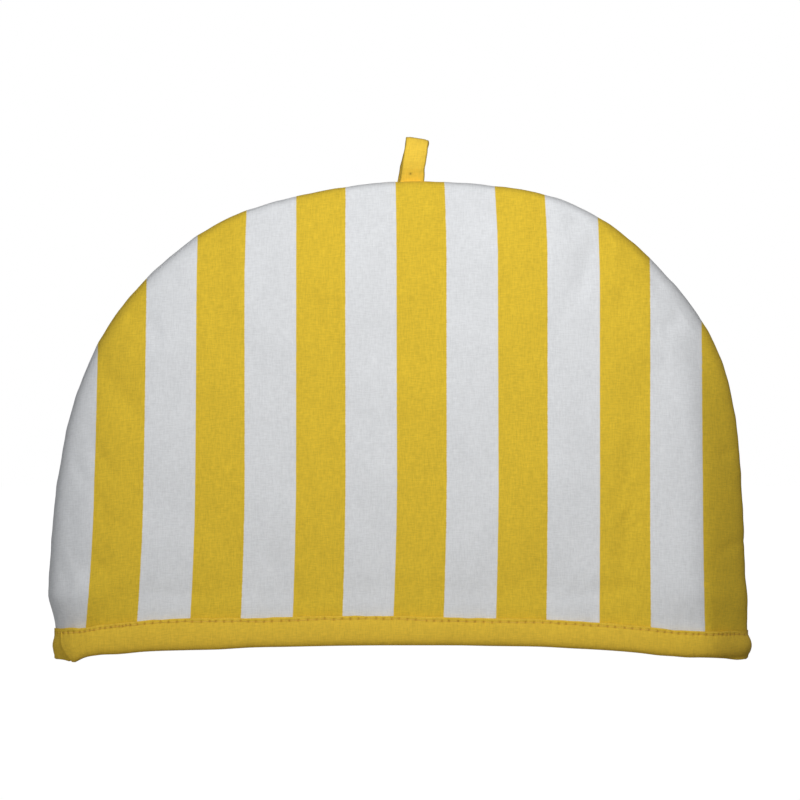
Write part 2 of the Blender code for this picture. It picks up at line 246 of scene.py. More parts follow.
def uneven_colour_group():
    """A colour made lighter and darker along the threads."""
    group, given, result = new_group(
        "uneven_colour",
        {"Colour": "Color", "Streaks": "Float", "Streak Depth": "Float",
         "Blotches": "Float", "Blotch Depth": "Float"},
        {"Colour": "Color"},
    )
    factors = []
    for unevenness, depth in (("Streaks", "Streak Depth"), ("Blotches", "Blotch Depth")):
        centred = value_node(group, "SUBTRACT", given[unevenness], 0.5)
        factors.append(value_node(group, "MULTIPLY_ADD", centred, given[depth], 1.0))
    scale = group.nodes.new("ShaderNodeVectorMath")
    scale.operation = "SCALE"
    join(
        group,
        (given["Colour"], scale.inputs[0]),
        (value_node(group, "MULTIPLY", *factors), scale.inputs["Scale"]),
        (scale.outputs[0], result["Colour"]),
    )
    return group


PLAIN_WEAVE = plain_weave_group()
UNEVEN_COLOUR = uneven_colour_group()


def place_group(tree, group, values):
    """A shared group in a material, with its own numbers and the outputs that feed it."""
    node = tree.nodes.new("ShaderNodeGroup")
    node.node_tree = group
    for name, value in values.items():
        if isinstance(value, bpy.types.NodeSocket):
            tree.links.new(value, node.inputs[name])
        else:
            node.inputs[name].default_value = value
    return node


def uneven_colour(tree, weave, colour, streak_depth):
    """The colour, lighter and darker along the threads of the weave node."""
    return place_group(tree, UNEVEN_COLOUR, {
        "Colour": colour,
        "Streak Depth": streak_depth,
        "Blotch Depth": BLOTCH_DEPTH,
        "Streaks": weave.outputs["Streaks"],
        "Blotches": weave.outputs["Blotches"],
    }).outputs["Colour"]


def cotton_cloth(name, colour, roughness=0.9, streak_depth=STREAK_DEPTH):
    """A material of woven cotton in one colour."""
    cloth = bpy.data.materials.new(name)
    cloth.use_nodes = True
    tree = cloth.node_tree
    shader = tree.nodes["Principled BSDF"]
    shader.inputs["Roughness"].default_value = roughness
    shader.inputs["Specular IOR Level"].default_value = 0.18
    shader.inputs["Sheen Weight"].default_value = 0.04
    shader.inputs["Sheen Roughness"].default_value = 0.6
    place = tree.nodes.new("ShaderNodeUVMap")
    place.uv_map = "cloth"
    weave = place_group(tree, PLAIN_WEAVE, {
        "Cloth Place": place.outputs[0],
        "Thread Pitch": THREAD_PITCH,
    })
    bump = tree.nodes.new("ShaderNodeBump")
    bump.inputs["Strength"].default_value = 0.8
    bump.inputs["Distance"].default_value = THREAD_RELIEF
    join(
        tree,
        (uneven_colour(tree, weave, colour, streak_depth), shader.inputs["Base Color"]),
        (weave.outputs["Relief"], bump.inputs["Height"]),
        (bump.outputs[0], shader.inputs["Normal"]),
    )
    return cloth


# ---- the padded panels ----
# Two half-moons of striped cotton over wadding, lined with plain white cotton. They are sewn to
# each other along the curved edge, which tucks in as a seam, and bound along the straight one.
def table(columns, *rows):
    """Rows of numbers under named columns; each column is read as one array."""
    return namedtuple("Table", columns)(*np.array(rows, float).T)


# The seam's reach from the middle of the hem, by the angle above +X
SEAM_LINE = table(
    "angle reach",
    (0, 0.1738), (5, 0.1737), (10, 0.1736), (15, 0.1753), (20, 0.1797), (25, 0.1856),
    (30, 0.1928), (35, 0.2018), (40, 0.2108), (45, 0.219), (50, 0.2248), (55, 0.2296),
    (60, 0.2342), (65, 0.2381), (70, 0.2397), (75, 0.2392), (80, 0.2372), (85, 0.2361),
    (90, 0.2352), (95, 0.2345), (100, 0.2337), (105, 0.2337), (110, 0.2333), (115, 0.2315),
    (120, 0.2278), (125, 0.2239), (130, 0.219), (135, 0.2131), (140, 0.2063), (145, 0.1996),
    (150, 0.1926), (155, 0.1869), (160, 0.1819), (165, 0.178), (170, 0.1756), (175, 0.1748),
    (180, 0.1745),
)
SEAM_STEPS = 1440
END_STEPS = 24                  # and up each straight end, as high as the binding
CROWN_HEIGHT = 0.236
HALF_WIDTH = 0.173
WALL = 0.008
WALL_IN_SEAM = 0.0065
WALL_IN_BINDING = 0.0045
HEM_FULLNESS = 0.0270
CROWN_FULLNESS = 0.0110
FULLNESS_FALL = 1.6
FACE_BOW = 0.06
HEM_ROLL = 0.0205
CROWN_ROLL = 0.009
SEAM_TUCK = math.radians(16)
ROLL_END = math.radians(70)
SEAM_GAP = 0.00004
HEM_PINCH_LEFT = 0.0050
HEM_PINCH_RIGHT = 0.0026
PINCH_TOP = 0.034
TUCKED_IN = 0.0010              # the raw edges inside the binding lie this much further in
TUCKED_UNDER = (0.009, 0.0135)  # fully below the first height, not at all above the second
MIDDLE_PINCH = 0.25             # share of the pinch that draws the middle of a face in
PINCHED_END = (0.115, 0.160)    # and out from here the whole of it
PANEL_BOTTOM = 0.0026
BINDING_ROW = 0.0150
PRESSED_TOP = 0.026             # up to here the binding presses the wall thin
PRESSED_CROWN = 0.6 * CROWN_HEIGHT  # and from here the seam does
# How high the underside of the hem is, on the front and on the back
HEM_RISE = table(
    "x front back",
    (-0.163, 0, 0), (-0.156, 0.0009, 0.0007), (-0.148, 0.0026, 0.0018), (-0.138, 0.004, 0.003),
    (-0.123, 0.0054, 0.0041), (-0.1, 0.0064, 0.0049), (-0.075, 0.0074, 0.0055),
    (-0.045, 0.0081, 0.0059), (-0.01, 0.0084, 0.006), (0.025, 0.0084, 0.006),
    (0.055, 0.008, 0.0058), (0.08, 0.0072, 0.0053), (0.1, 0.0062, 0.0047),
    (0.118, 0.0048, 0.0038), (0.134, 0.0032, 0.0027), (0.15, 0.0018, 0.0016),
    (0.16, 0.0006, 0.0005), (0.167, 0, 0),
)
# The right end slants back to the seam instead of rolling: share of the swell, by the distance
# from the seam
RIGHT_EDGE = table(
    "away share",
    (0, 0), (0.0003, 0.06), (0.001, 0.125), (0.0022, 0.2), (0.004, 0.285), (0.008, 0.445),
    (0.012, 0.6), (0.016, 0.745), (0.02, 0.86), (0.024, 0.93), (0.03, 0.975), (0.04, 1),
    (0.08, 1),
)
TAPER_START = (0.04, 0.09)      # across the panel, the slant grows from the first x to the second
TAPER_FULL = 0.105              # height up to which the right end slants fully
TAPER_TOP = 0.180
ROLL_ROWS = 26
FACE_ROWS = 96
SEAM_COLUMNS = 300
FOOT_SPREAD = 0.66              # share of the width that the mesh's last row takes up on the hem
# Where the stripes change, seen from the front, at three heights; the first starts a yellow one.
# Then how far the seam has drawn the edge to one side, and how high the seam is there
STRIPE_EDGES = table(
    "shoulder middle hem drawn seam",
    (-0.1482, -0.1505, -0.1535, 0, 0.15), (-0.1248, -0.1262, -0.1286, 0, 0.19),
    (-0.1002, -0.1008, -0.1027, 0.0004, 0.206), (-0.0765, -0.0764, -0.0779, 0.001, 0.2194),
    (-0.0511, -0.0512, -0.0525, 0, 0.228), (-0.0269, -0.0268, -0.028, 0.0002, 0.233),
    (-0.0017, -0.0015, -0.0029, -0.0004, 0.2355), (0.0229, 0.023, 0.0218, -0.001, 0.2345),
    (0.0482, 0.0485, 0.0475, -0.0015, 0.233), (0.0726, 0.0727, 0.0722, -0.0015, 0.2311),
    (0.0983, 0.0984, 0.0982, -0.001, 0.2194), (0.1232, 0.1231, 0.1234, -0.0004, 0.201),
    (0.1483, 0.149, 0.1497, 0, 0.16),
)
STRIPE_SHOULDER_Z = 0.1771
STRIPE_MIDDLE_Z = 0.0886
STRIPE_HEM_Z = 0.0296
STRIPE_WIDTH = 0.0250
# How the edges bend towards the hem, the shoulder and the seam, and how far they go on past them
STRIPE_BENDS = (1.6, 0.8, 1.5)
STRIPE_BEYOND = (1.3, 1.6, 1.2)
DRAWN_REACH = 0.034             # how far below the seam the stripes are drawn aside
STRIPE_BLUR = 22.0              # how sharp the printed edge is
STRIPE_FRAY = 0.030             # how far the threads shift it, in stripes
PANEL_WHITE = (0.800, 0.817, 0.840, 1.0)
PANEL_YELLOW = (0.800, 0.555, 0.040, 1.0)
YELLOW_STREAKS = 0.78           # the yellow shows the streaks more than the white
LINING_WHITE = (0.780, 0.790, 0.790, 1.0)
SHARP_ANGLE = math.radians(48)  # faces that meet more steeply than this show an edge


def between(first, second, share):
    return first + (second - first) * share


def ease(value, start, end):
    """0 before start, 1 after end, and a soft step between them."""
    u = np.clip((value - start) / (end - start), 0.0, 1.0)
    return u * u * (3 - 2 * u)


def smooth_through(at, places, values):
    """A smooth curve through the values, level at both ends, read at the places asked for."""
    slopes = np.gradient(values, places, axis=0)
    slopes[[0, -1]] = 0.0
    row = np.clip(np.searchsorted(places, at) - 1, 0, len(places) - 2)
    each = np.shape(row) + (1,) * (np.ndim(values) - 1)
    step = np.reshape(places[row + 1] - places[row], each)
    u = np.reshape(at - places[row], each) / step
    return (
        values[row] * (1 + 2 * u) * (1 - u) ** 2
        + slopes[row] * step * u * (1 - u) ** 2
        + values[row + 1] * u ** 2 * (3 - 2 * u)
        + slopes[row + 1] * step * u ** 2 * (u - 1)
    )


def run_along(line):
    """How far along a line each of its points is."""
    return np.concatenate([[0.0], np.cumsum(np.linalg.norm(np.diff(line, axis=0), axis=1))])


def seam_curve():
    """Close points along the seam, from the left end of the hem over the crown to the right end."""
    angle = np.linspace(180, 0, SEAM_STEPS + 1)
    reach = smooth_through(angle, *SEAM_LINE)
    turn = np.radians(angle)
    curve = np.column_stack([reach * np.cos(turn), reach * np.sin(turn)])
    over = curve[curve[:, 1] >= BINDING_ROW]
    drop = np.linspace(PANEL_BOTTOM, BINDING_ROW, END_STEPS)[:-1]
    left = np.column_stack([np.full_like(drop, over[0, 0]), drop])
    right = np.column_stack([np.full_like(drop, over[-1, 0]), drop[::-1]])
    return np.vstack([left, over, right])


SEAM = seam_curve()
SEAM_ALONG = run_along(SEAM)


def seam_inward():
    ahead = np.gradient(SEAM, SEAM_ALONG, axis=0)
    inward = np.column_stack([ahead[:, 1], -ahead[:, 0]])
    return inward / np.linalg.norm(inward, axis=1)[:, None]


def fullness(x, z):
    """How far a face stands out from the seam's plane."""
    fall = np.clip(z / CROWN_HEIGHT, 0.0, 1.0) ** FULLNESS_FALL
    bow = 1 - FACE_BOW * (x / HALF_WIDTH) ** 2
    return between(HEM_FULLNESS, CROWN_FULLNESS, fall) * bow


def roll_length(x, z):
    """How far in from the seam the padded edge has rolled out to the full face."""
    radius = between(HEM_ROLL, CROWN_ROLL, np.clip(z / CROWN_HEIGHT, 0.0, 1.0))
    return fullness(x, z) ** 2 / radius


SEAM_INWARD = seam_inward()
SEAM_ROLL = roll_length(SEAM[:, 0], SEAM[:, 1])


def nearest_seam(x, z):
    """For each point of the seam plane, the nearest place on the seam and how far off it is."""
    away = (SEAM[None, :, 0] - x[:, None]) ** 2 + (SEAM[None, :, 1] - z[:, None]) ** 2
    index = np.argmin(away, axis=1)
    return index, np.hypot(SEAM[index, 0] - x, SEAM[index, 1] - z)


def hem_pinch(x, z):
    """How far the binding draws the cloth in."""
    draw = between(HEM_PINCH_LEFT, HEM_PINCH_RIGHT, (x / HALF_WIDTH + 1) / 2)
    return draw * (1 - ease(z, BINDING_ROW, PINCH_TOP)) + TUCKED_IN * (1 - ease(z, *TUCKED_UNDER))


def hem_rise(x, side):
    rise = HEM_RISE.front if side < 0 else HEM_RISE.back
    return smooth_through(np.clip(x, HEM_RISE.x[0], HEM_RISE.x[-1]), HEM_RISE.x, rise)


def underside(x, z, side):
    return hem_rise(x, side) * (1 - np.clip(z / CROWN_HEIGHT, 0.0, 1.0)) ** 2


def wall(z):
    """How thick a panel is: its wadding is pressed thin in the binding and in the crown's seam."""
    pressed_hem = 1 - ease(z, BINDING_ROW, PRESSED_TOP)
    pressed_crown = ease(z, PRESSED_CROWN, CROWN_HEIGHT)
    return (
        WALL + (WALL_IN_BINDING - WALL) * pressed_hem + (WALL_IN_SEAM - WALL) * pressed_crown
    )


def right_reach(z):
    half = len(SEAM) // 2
    return np.interp(z, SEAM[half:][::-1, 1], SEAM[half:][::-1, 0])


def taper(x, z):
    """How far the right end has turned from a rounded edge into a slanting one."""
    return ease(x, *TAPER_START) * (1 - ease(z, TAPER_FULL, TAPER_TOP))


def outer_point(x, z, roll, side):
    """Points of a panel's outer face; side is -1 on the front and 1 on the back."""
    away = np.clip(right_reach(z) - x, 0.0, RIGHT_EDGE.away[-1])
    slanting = np.where(roll > 0, smooth_through(away, *RIGHT_EDGE), np.sin(roll))
    share = taper(x, z)
    swell = np.sin(roll) * (1 - share) + slanting * share
    depth = fullness(x, z) * (math.sin(SEAM_TUCK) + swell)
    pinch = hem_pinch(x, z)
    place = x - np.copysign(pinch * np.cos(roll), x)
    drawn_in = between(MIDDLE_PINCH, 1.0, ease(np.abs(x), *PINCHED_END))
    depth = np.maximum(depth - pinch * drawn_in * np.maximum(swell, 0.0), SEAM_GAP / 2)
    return np.stack([place, side * depth, z + underside(x, z, side)], axis=-1)


def panel_layout():
    """The rows of a panel's mesh, from the seam to the hem: place in the seam plane, roll angle
    and place along the seam."""
    stops = np.linspace(0.0, SEAM_ALONG[-1], SEAM_COLUMNS + 1)
    rim, inward = (
        np.column_stack([np.interp(stops, SEAM_ALONG, values[:, axis]) for axis in (0, 1)])
        for values in (SEAM, SEAM_INWARD)
    )
    length = roll_length(rim[:, 0], rim[:, 1])
    places, rolls, seam_at = [], [], []
    for roll in np.linspace(-SEAM_TUCK, ROLL_END, ROLL_ROWS + 1):
        places.append(rim + inward * (length * (1 - math.cos(roll)))[:, None])
        rolls.append(np.full(len(rim), roll))
        seam_at.append(stops)
    edge = places[-1]
    foot_x = np.linspace(-FOOT_SPREAD, FOOT_SPREAD, SEAM_COLUMNS + 1) * HALF_WIDTH
    foot = np.column_stack([foot_x, np.full_like(foot_x, PANEL_BOTTOM)])
    for step in range(1, FACE_ROWS + 1):
        place = edge + (foot - edge) * (step / FACE_ROWS)
        index, away = nearest_seam(place[:, 0], place[:, 1])
        places.append(place)
        rolls.append(np.arccos(np.clip(1 - away / SEAM_ROLL[index], 0.0, 1.0)))
        seam_at.append(SEAM_ALONG[index])
    return np.array(places), np.array(rolls), np.array(seam_at)


PLACES, ROLLS, SEAM_AT = panel_layout()
LEVEL_CORNER = 0.04             # below this share of a square corner, a mesh corner is too flat
FURTHER_IN = 8


def surface_normals(points, side):
    """Outward unit normals of a grid of points."""
    down = np.gradient(points, axis=0)
    ahead = np.gradient(points, axis=1)
    normal = np.cross(down, ahead)
    size = np.linalg.norm(normal, axis=2)
    square = np.linalg.norm(down, axis=2) * np.linalg.norm(ahead, axis=2)
    normal /= np.maximum(size, 1e-15)[..., None]
    # where the mesh's rows and columns run the same way, at the ends of the hem, look further in
    rows, columns = points.shape[:2]
    for row, column in zip(*np.nonzero(size < LEVEL_CORNER * square)):
        inner_row = min(row, rows - FURTHER_IN)
        inner_column = min(max(column, FURTHER_IN - 1), columns - FURTHER_IN)
        normal[row, column] = normal[inner_row, inner_column]
    return normal if normal[rows // 2, columns // 2, 1] * side > 0 else -normal


# The seam is drawn up a little unevenly by its stitches, more so close to it
SEAM_RIPPLES = table(
    "wavelength turn height",
    (0.0091, 0.4, 0.00008), (0.0143, 2.1, 0.00012), (0.0237, 4.4, 0.00014), (0.041, 1.2, 0.00016),
)
SEAM_RIPPLE_FALL = (0.016 / 0.011) ** 2
# The panel is gathered a little above the binding
HEM_RIPPLES = table(
    "wavelength turn height",
    (0.0064, 1.9, 0.00006), (0.0107, 0.3, 0.0001), (0.0172, 3.8, 0.00012), (0.0331, 5.1, 0.00014),
)
SEAM_RIPPLE_ABOVE = (0.014, 0.024)
HEM_RIPPLE_REACH = 0.007
HEM_RIPPLE_BOTTOM = 0.004
BACK_SHIFT = (0.4, 0.3)         # the back's ripples at the seam and the hem lie elsewhere
WADDING_LUMP = 0.0004
LUMPS_IN_FROM = (0.5, 1.4)      # roll angles between which the lumps set in
LUMPS_ABOVE = (0.012, 0.05)
# Creases and dents of the front panel
FRONT_CREASES = table(
    "x1 z1 x2 z2 width depth",
    (0.1557, 0.053, 0.1685, 0.059, 0.0016, 0.0007),
    (0.1575, 0.1008, 0.164, 0.1035, 0.0022, 0.0006), (-0.064, 0.212, -0.05, 0.223, 0.004, 0.0004),
    (-0.061, 0.221, -0.057, 0.227, 0.0012, 0.0004),
)


def ripples(at, rows):
    return sum(
        height * np.sin(2 * math.pi * at / wavelength + turn)
        for wavelength, turn, height in zip(*rows)
    )


def wadding_lumps(x, z, side):
    """The wadding lies a little unevenly behind the cloth."""
    turn = 0.0 if side < 0 else 2.3
    return WADDING_LUMP * (
        np.sin(x / 0.019 + 1.1 + turn) * np.sin(z / 0.017 + 0.4)
        + 0.8 * np.sin(x / 0.031 - z / 0.041 + 2.2 + turn)
        + 0.6 * np.sin(x / 0.013 + z / 0.024 + 5.0) * np.sin(z / 0.011 + turn)
    )


def creases(x, z, rows):
    total = np.zeros_like(x)
    for x1, z1, x2, z2, width, depth in zip(*rows):
        run = np.array([x2 - x1, z2 - z1])
        share = np.clip(((x - x1) * run[0] + (z - z1) * run[1]) / (run @ run), 0.0, 1.0)
        away = np.hypot(x - x1 - share * run[0], z - z1 - share * run[1])
        total += depth * np.exp(-(away / width) ** 2) * np.sin(math.pi * (0.15 + 0.7 * share))
    return total


def grid_faces(rows, columns, first=0, flip=False):
    """The four-sided faces of a grid of vertices, row by row."""
    r, c = np.meshgrid(np.arange(rows - 1), np.arange(columns - 1), indexing="ij")
    a = (r * columns + c + first).ravel()
    quad = np.column_stack([a, a + 1, a + columns + 1, a + columns])
    return quad[:, ::-1] if flip else quad


def new_mesh(name, points, faces):
    mesh = bpy.data.meshes.new(name)
    mesh.from_pydata(np.reshape(points, (-1, 3)).tolist(), [], faces)
    mesh.validate()
    return mesh


# The cloth is let settle over its wadding, held where it is sewn, and starts a little slack
SETTLE_STEP = 3                 # every so many rows and columns of the mesh are simulated
SETTLE_FRAMES = 20
CLOTH_SLACK = 0.0012
CLOTH_SETTINGS = {
    "quality": 6,
    "mass": 0.15,
    "tension_stiffness": 12,
    "compression_stiffness": 12,
    "shear_stiffness": 4,
    "bending_stiffness": 1.0,
    "shrink_min": -CLOTH_SLACK,
    "use_pressure": True,
    "uniform_pressure_force": 2.0,
}
START_IN = 0.0014
MOST_MOVED = 0.0026
HELD_ROLL = (0.35, 0.95)        # held at the seam side of the first angle, free past the second
HELD_HEM = (0.019, 0.034)       # and held below the first height, free above the second
HELD_SLANT = (0.095, 0.150)     # and held where the right end slants, from here out


def every_so_many(count):
    return np.unique(np.concatenate([np.arange(0, count, SETTLE_STEP), [count - 1]]))


def cloth_settled(start, free, side):
    """How far each point of a grid of cloth moves when the wadding presses on it from behind."""
    mesh = new_mesh("settling", start, grid_faces(*free.shape, flip=side < 0).tolist())
    settling = bpy.data.objects.new("settling", mesh)
    bpy.context.scene.collection.objects.link(settling)
    sewn = settling.vertex_groups.new(name="sewn")
    for vertex, share in enumerate(free.ravel()):
        sewn.add([vertex], float(1 - share), "REPLACE")
    cloth = settling.modifiers.new("cloth", "CLOTH")
    for setting, value in CLOTH_SETTINGS.items():
        setattr(cloth.settings, setting, value)
    cloth.settings.effector_weights.gravity = 0
    cloth.settings.vertex_group_mass = "sewn"
    cloth.collision_settings.use_collision = False
    cloth.point_cache.frame_start = 1
    cloth.point_cache.frame_end = SETTLE_FRAMES
    for moment in range(1, SETTLE_FRAMES + 1):
        bpy.context.scene.frame_set(moment)
    settled = settling.evaluated_get(bpy.context.evaluated_depsgraph_get())
    end = np.array([v.co[:] for v in settled.data.vertices]).reshape(start.shape)
    bpy.context.scene.frame_set(1)
    bpy.data.objects.remove(settling)
    bpy.data.meshes.remove(mesh)
    return end - start


def over_the_wadding(smooth, normal, side):
    """The outer face once its cloth has settled over the wadding."""
    x, z = PLACES[..., 0], PLACES[..., 1]
    slanting = taper(x, z) * ease(x, *HELD_SLANT)
    free = ease(ROLLS, *HELD_ROLL) * ease(z, *HELD_HEM) * (1 - slanting)
    start = smooth - normal * (START_IN * free)[..., None]
    rows, columns = (every_so_many(count) for count in free.shape)
    picked = np.ix_(rows, columns)
    moved = cloth_settled(start[picked], free[picked], side)
    far = np.linalg.norm(moved, axis=2, keepdims=True)
    moved = moved / np.sqrt(1 + (far / MOST_MOVED) ** 2)
    moved = smooth_through(np.arange(free.shape[1]), columns, moved.swapaxes(0, 1)).swapaxes(0, 1)
    return start + smooth_through(np.arange(free.shape[0]), rows, moved)


def panel_skin(side):
    """The outer face of a panel, with its ripples and creases, and its smooth normals."""
    x, z = PLACES[..., 0], PLACES[..., 1]
    smooth = outer_point(x, z, ROLLS, side)
    normal = surface_normals(smooth, side)
    near_seam = np.exp(-np.maximum(ROLLS + SEAM_TUCK, 0.0) * SEAM_RIPPLE_FALL)
    above_hem = np.maximum(z - BINDING_ROW, 0.0)
    near_hem = np.exp(-above_hem / HEM_RIPPLE_REACH) * ease(z, HEM_RIPPLE_BOTTOM, BINDING_ROW)
    seam_shift, hem_shift = BACK_SHIFT if side > 0 else (0.0, 0.0)
    lift = ripples(SEAM_AT + seam_shift, SEAM_RIPPLES) * near_seam * ease(z, *SEAM_RIPPLE_ABOVE)
    lift += ripples(x + hem_shift, HEM_RIPPLES) * near_hem
    lift += wadding_lumps(x, z, side) * ease(ROLLS, *LUMPS_IN_FROM) * ease(z, *LUMPS_ABOVE)
    if side < 0:
        lift -= creases(x, z, FRONT_CREASES)
    skin = over_the_wadding(smooth, normal, side) + normal * lift[..., None]
    # the panels are sewn together edge to edge, and neither crosses the seam
    skin[..., 1] = side * np.maximum(side * skin[..., 1], SEAM_GAP / 2)
    skin[0, :, 1] = 0.0
    return skin, smooth, normal


def lining_skin(smooth, normal):
    """The inner face: a wall's thickness in, and straight on to the other panel at the seam."""
    x, z = PLACES[..., 0], PLACES[..., 1]
    thick = wall(z)[..., None]
    level = normal * np.array([1.0, 0.0, 1.0])
    level /= np.maximum(np.linalg.norm(level, axis=2, keepdims=True), 1e-9)
    tucked = (roll_length(x, z) * (1 - np.cos(ROLLS)))[..., None]
    beside_seam = (ROLLS <= 0)[..., None]
    return np.where(beside_seam, smooth - level * (thick - tucked), smooth - normal * thick)


def stripe_count(points):
    """How many stripe edges lie to the left of each point, seen from straight in front of it."""
    distance = CAMERA_DISTANCE - np.abs(points[..., 1])
    seen_x = points[..., 0] * CAMERA_DISTANCE / distance
    seen_z = CAMERA_HEIGHT + (points[..., 2] - CAMERA_HEIGHT) * CAMERA_DISTANCE / distance
    low = (STRIPE_MIDDLE_Z - seen_z) / (STRIPE_MIDDLE_Z - STRIPE_HEM_Z)
    high = (seen_z - STRIPE_MIDDLE_Z) / (STRIPE_SHOULDER_Z - STRIPE_MIDDLE_Z)

    def bent(share, kind):
        return np.clip(share, 0.0, STRIPE_BEYOND[kind]) ** STRIPE_BENDS[kind]

    low, high = bent(low, 0), bent(high, 1)
    edges = []
    for shoulder, middle, hem, drawn, seam in zip(*STRIPE_EDGES):
        straight = middle + (hem - middle) * low + (shoulder - middle) * high
        edges.append(straight + drawn * bent((seen_z - seam) / DRAWN_REACH + 1.0, 2))
    count = np.minimum((seen_x - edges[0]) / STRIPE_WIDTH, 0.0)
    for left, right in zip(edges, edges[1:]):
        count = count + np.clip((seen_x - left) / (right - left), 0.0, 1.0)
    count = count + np.clip((seen_x - edges[-1]) / STRIPE_WIDTH, 0.0, None)
    return np.clip(count, -0.96, len(edges) - 0.04)


def flat_cloth_place():
    """Where the outer face's points lie on the flat cloth, as if the padded edge were unrolled."""
    index = np.clip(np.searchsorted(SEAM_ALONG, SEAM_AT), 0, len(SEAM) - 1)
    length = SEAM_ROLL[index]
    deep = fullness(SEAM[index, 0], SEAM[index, 1])
    # arc from each roll angle to the flat face, for edges from a deep roll to a long one
    angle = np.linspace(-SEAM_TUCK, math.pi / 2, 181)
    shape = np.linspace(0.5, 2.0, 16)
    step = np.hypot(shape[:, None] * np.sin(angle), np.cos(angle)) * (angle[1] - angle[0])
    arcs = np.cumsum(step[:, ::-1], axis=1)[:, ::-1] - step
    arcs = np.array([np.interp(ROLLS, angle, arc) for arc in arcs])
    row = np.clip((length / deep - shape[0]) / (shape[1] - shape[0]), 0, len(shape) - 1.001)
    below = row.astype(int)
    first, second = (np.take_along_axis(arcs, below[None] + k, axis=0)[0] for k in (0, 1))
    arc = deep * between(first, second, row - below)
    return PLACES - SEAM_INWARD[index] * (arc - length * np.cos(ROLLS))[..., None]


def set_cloth_place(mesh, flat):
    """The cloth's own map, in metres, from a flat place for each vertex."""
    corners = np.empty(len(mesh.loops), int)
    mesh.loops.foreach_get("vertex_index", corners)
    places = flat[corners].astype(np.float32).ravel()
    mesh.uv_layers.new(name="cloth").data.foreach_set("uv", places)


def set_amounts(mesh, name, amounts):
    """One number for each vertex, which a material reads by its name."""
    layer = mesh.attributes.new(name, "FLOAT", "POINT")
    layer.data.foreach_set("value", np.ravel(amounts).astype(np.float32))


def shown_piece(name, mesh, *materials):
    for material in materials:
        mesh.materials.append(material)
    mesh.shade_smooth()
    mesh.set_sharp_from_angle(angle=SHARP_ANGLE)
    piece = bpy.data.objects.new(name, mesh)
    bpy.context.scene.collection.objects.link(piece)
    return piece


def colour_mix(tree, share, plain, other):
    """The plain colour where the share is 0 and the other one where it is 1."""
    pick = tree.nodes.new("ShaderNodeMix")
    pick.data_type = "RGBA"
    first, second = (socket for socket in pick.inputs if socket.type == "RGBA")
    join(tree, (share, pick.inputs[0]), (plain, first), (other, second))
    return next(socket for socket in pick.outputs if socket.type == "RGBA")


def striped_cotton():
    """White cotton with yellow stripes printed along the warp."""
    cloth = cotton_cloth("striped_cotton", PANEL_WHITE)
    tree = cloth.node_tree
    base = tree.nodes["Principled BSDF"].inputs["Base Color"]
    white = base.links[0].from_socket
    weave = next(n for n in tree.nodes if n.type == "GROUP" and n.node_tree == PLAIN_WEAVE)
    yellow = uneven_colour(tree, weave, PANEL_YELLOW, YELLOW_STREAKS)
    count = tree.nodes.new("ShaderNodeAttribute")
    count.attribute_name = "stripe_count"
    streaks = weave.outputs["Streaks"]
    fray = value_node(tree, "MULTIPLY_ADD", streaks, STRIPE_FRAY, -STRIPE_FRAY / 2)
    frayed = value_node(tree, "ADD", count.outputs["Fac"], fray)
    wave = value_node(tree, "SINE", value_node(tree, "MULTIPLY", frayed, math.pi))
    edge = value_node(tree, "MULTIPLY_ADD", wave, STRIPE_BLUR, 0.5)
    printed = value_node(tree, "MINIMUM", value_node(tree, "MAXIMUM", edge, 0.0), 1.0)
    tree.links.new(colour_mix(tree, printed, white, yellow), base)
    return cloth


STRIPED_COTTON = striped_cotton()
LINING_COTTON = cotton_cloth("lining_cotton", LINING_WHITE)


def padded_panel(name, side, node):
    """One panel, closed: striped skin, lining skin and the rim between them."""
    outer, smooth, normal = panel_skin(side)
    rows, columns = ROLLS.shape
    count = ROLLS.size
    index = np.arange(count).reshape(rows, columns)
    rim = np.concatenate([index[0, :-1], index[:-1, -1], index[-1, :0:-1], index[:0:-1, 0]])
    after = np.roll(rim, -1)
    rim_faces = np.column_stack([rim, rim + count, after + count, after])
    front = side < 0
    faces = np.vstack([
        grid_faces(rows, columns, flip=front),
        grid_faces(rows, columns, first=count, flip=not front),
        rim_faces[:, ::-1] if front else rim_faces,
    ])
    mesh = new_mesh(name, np.stack([outer, lining_skin(smooth, normal)]), faces.tolist())
    set_cloth_place(mesh, np.tile(flat_cloth_place().reshape(-1, 2), (2, 1)))
    # the back's stripes lie as the front's do, seen from behind
    set_amounts(mesh, "stripe_count", np.tile(stripe_count(outer * [-side, 1.0, 1.0]), (2, 1)))
    piece = shown_piece(name, mesh, STRIPED_COTTON, LINING_COTTON)
    slots = np.zeros(len(mesh.polygons), int)
    slots[(rows - 1) * (columns - 1):] = 1
    mesh.polygons.foreach_set("material_index", slots)
    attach(piece, "root")
    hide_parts(node)


padded_panel("front_panel", -1, "panel_front")
padded_panel("back_panel", 1, "panel_back")


# ---- the hem binding ----
# One long strip of plain yellow cotton, folded over the raw edges of both panels and stitched
# through near its top edge. It starts on the front at the left and laps over its own start there.
CLOTH = 0.0014                  # one folded layer of the strip
LAP_GAP = 0.0004
LAP_START_X = -0.153
LAP_END_X = -0.1640             # the folded end, at its top
LAP_CLIMB = (0.014, 0.002)      # how far before its own start the strip climbs onto it
LAP_SKEW = 3                    # its rows lean towards the folded end over so many slants
LAP_FOOT = (-0.1620, -0.1580)   # the start is lifted off the floor by the end, less and less here
LAP_FOOT_RUN = 0.05             # and only this near to the start
# The folded end curves to the right on its way down: share of the way down, and how far right
LAP_CURVE = table(
    "low slant",
    (0, 0), (0.15, 0.0002), (0.44, 0.0012), (0.65, 0.0029), (0.8, 0.0046), (0.92, 0.0062),
    (1, 0.0066),
)
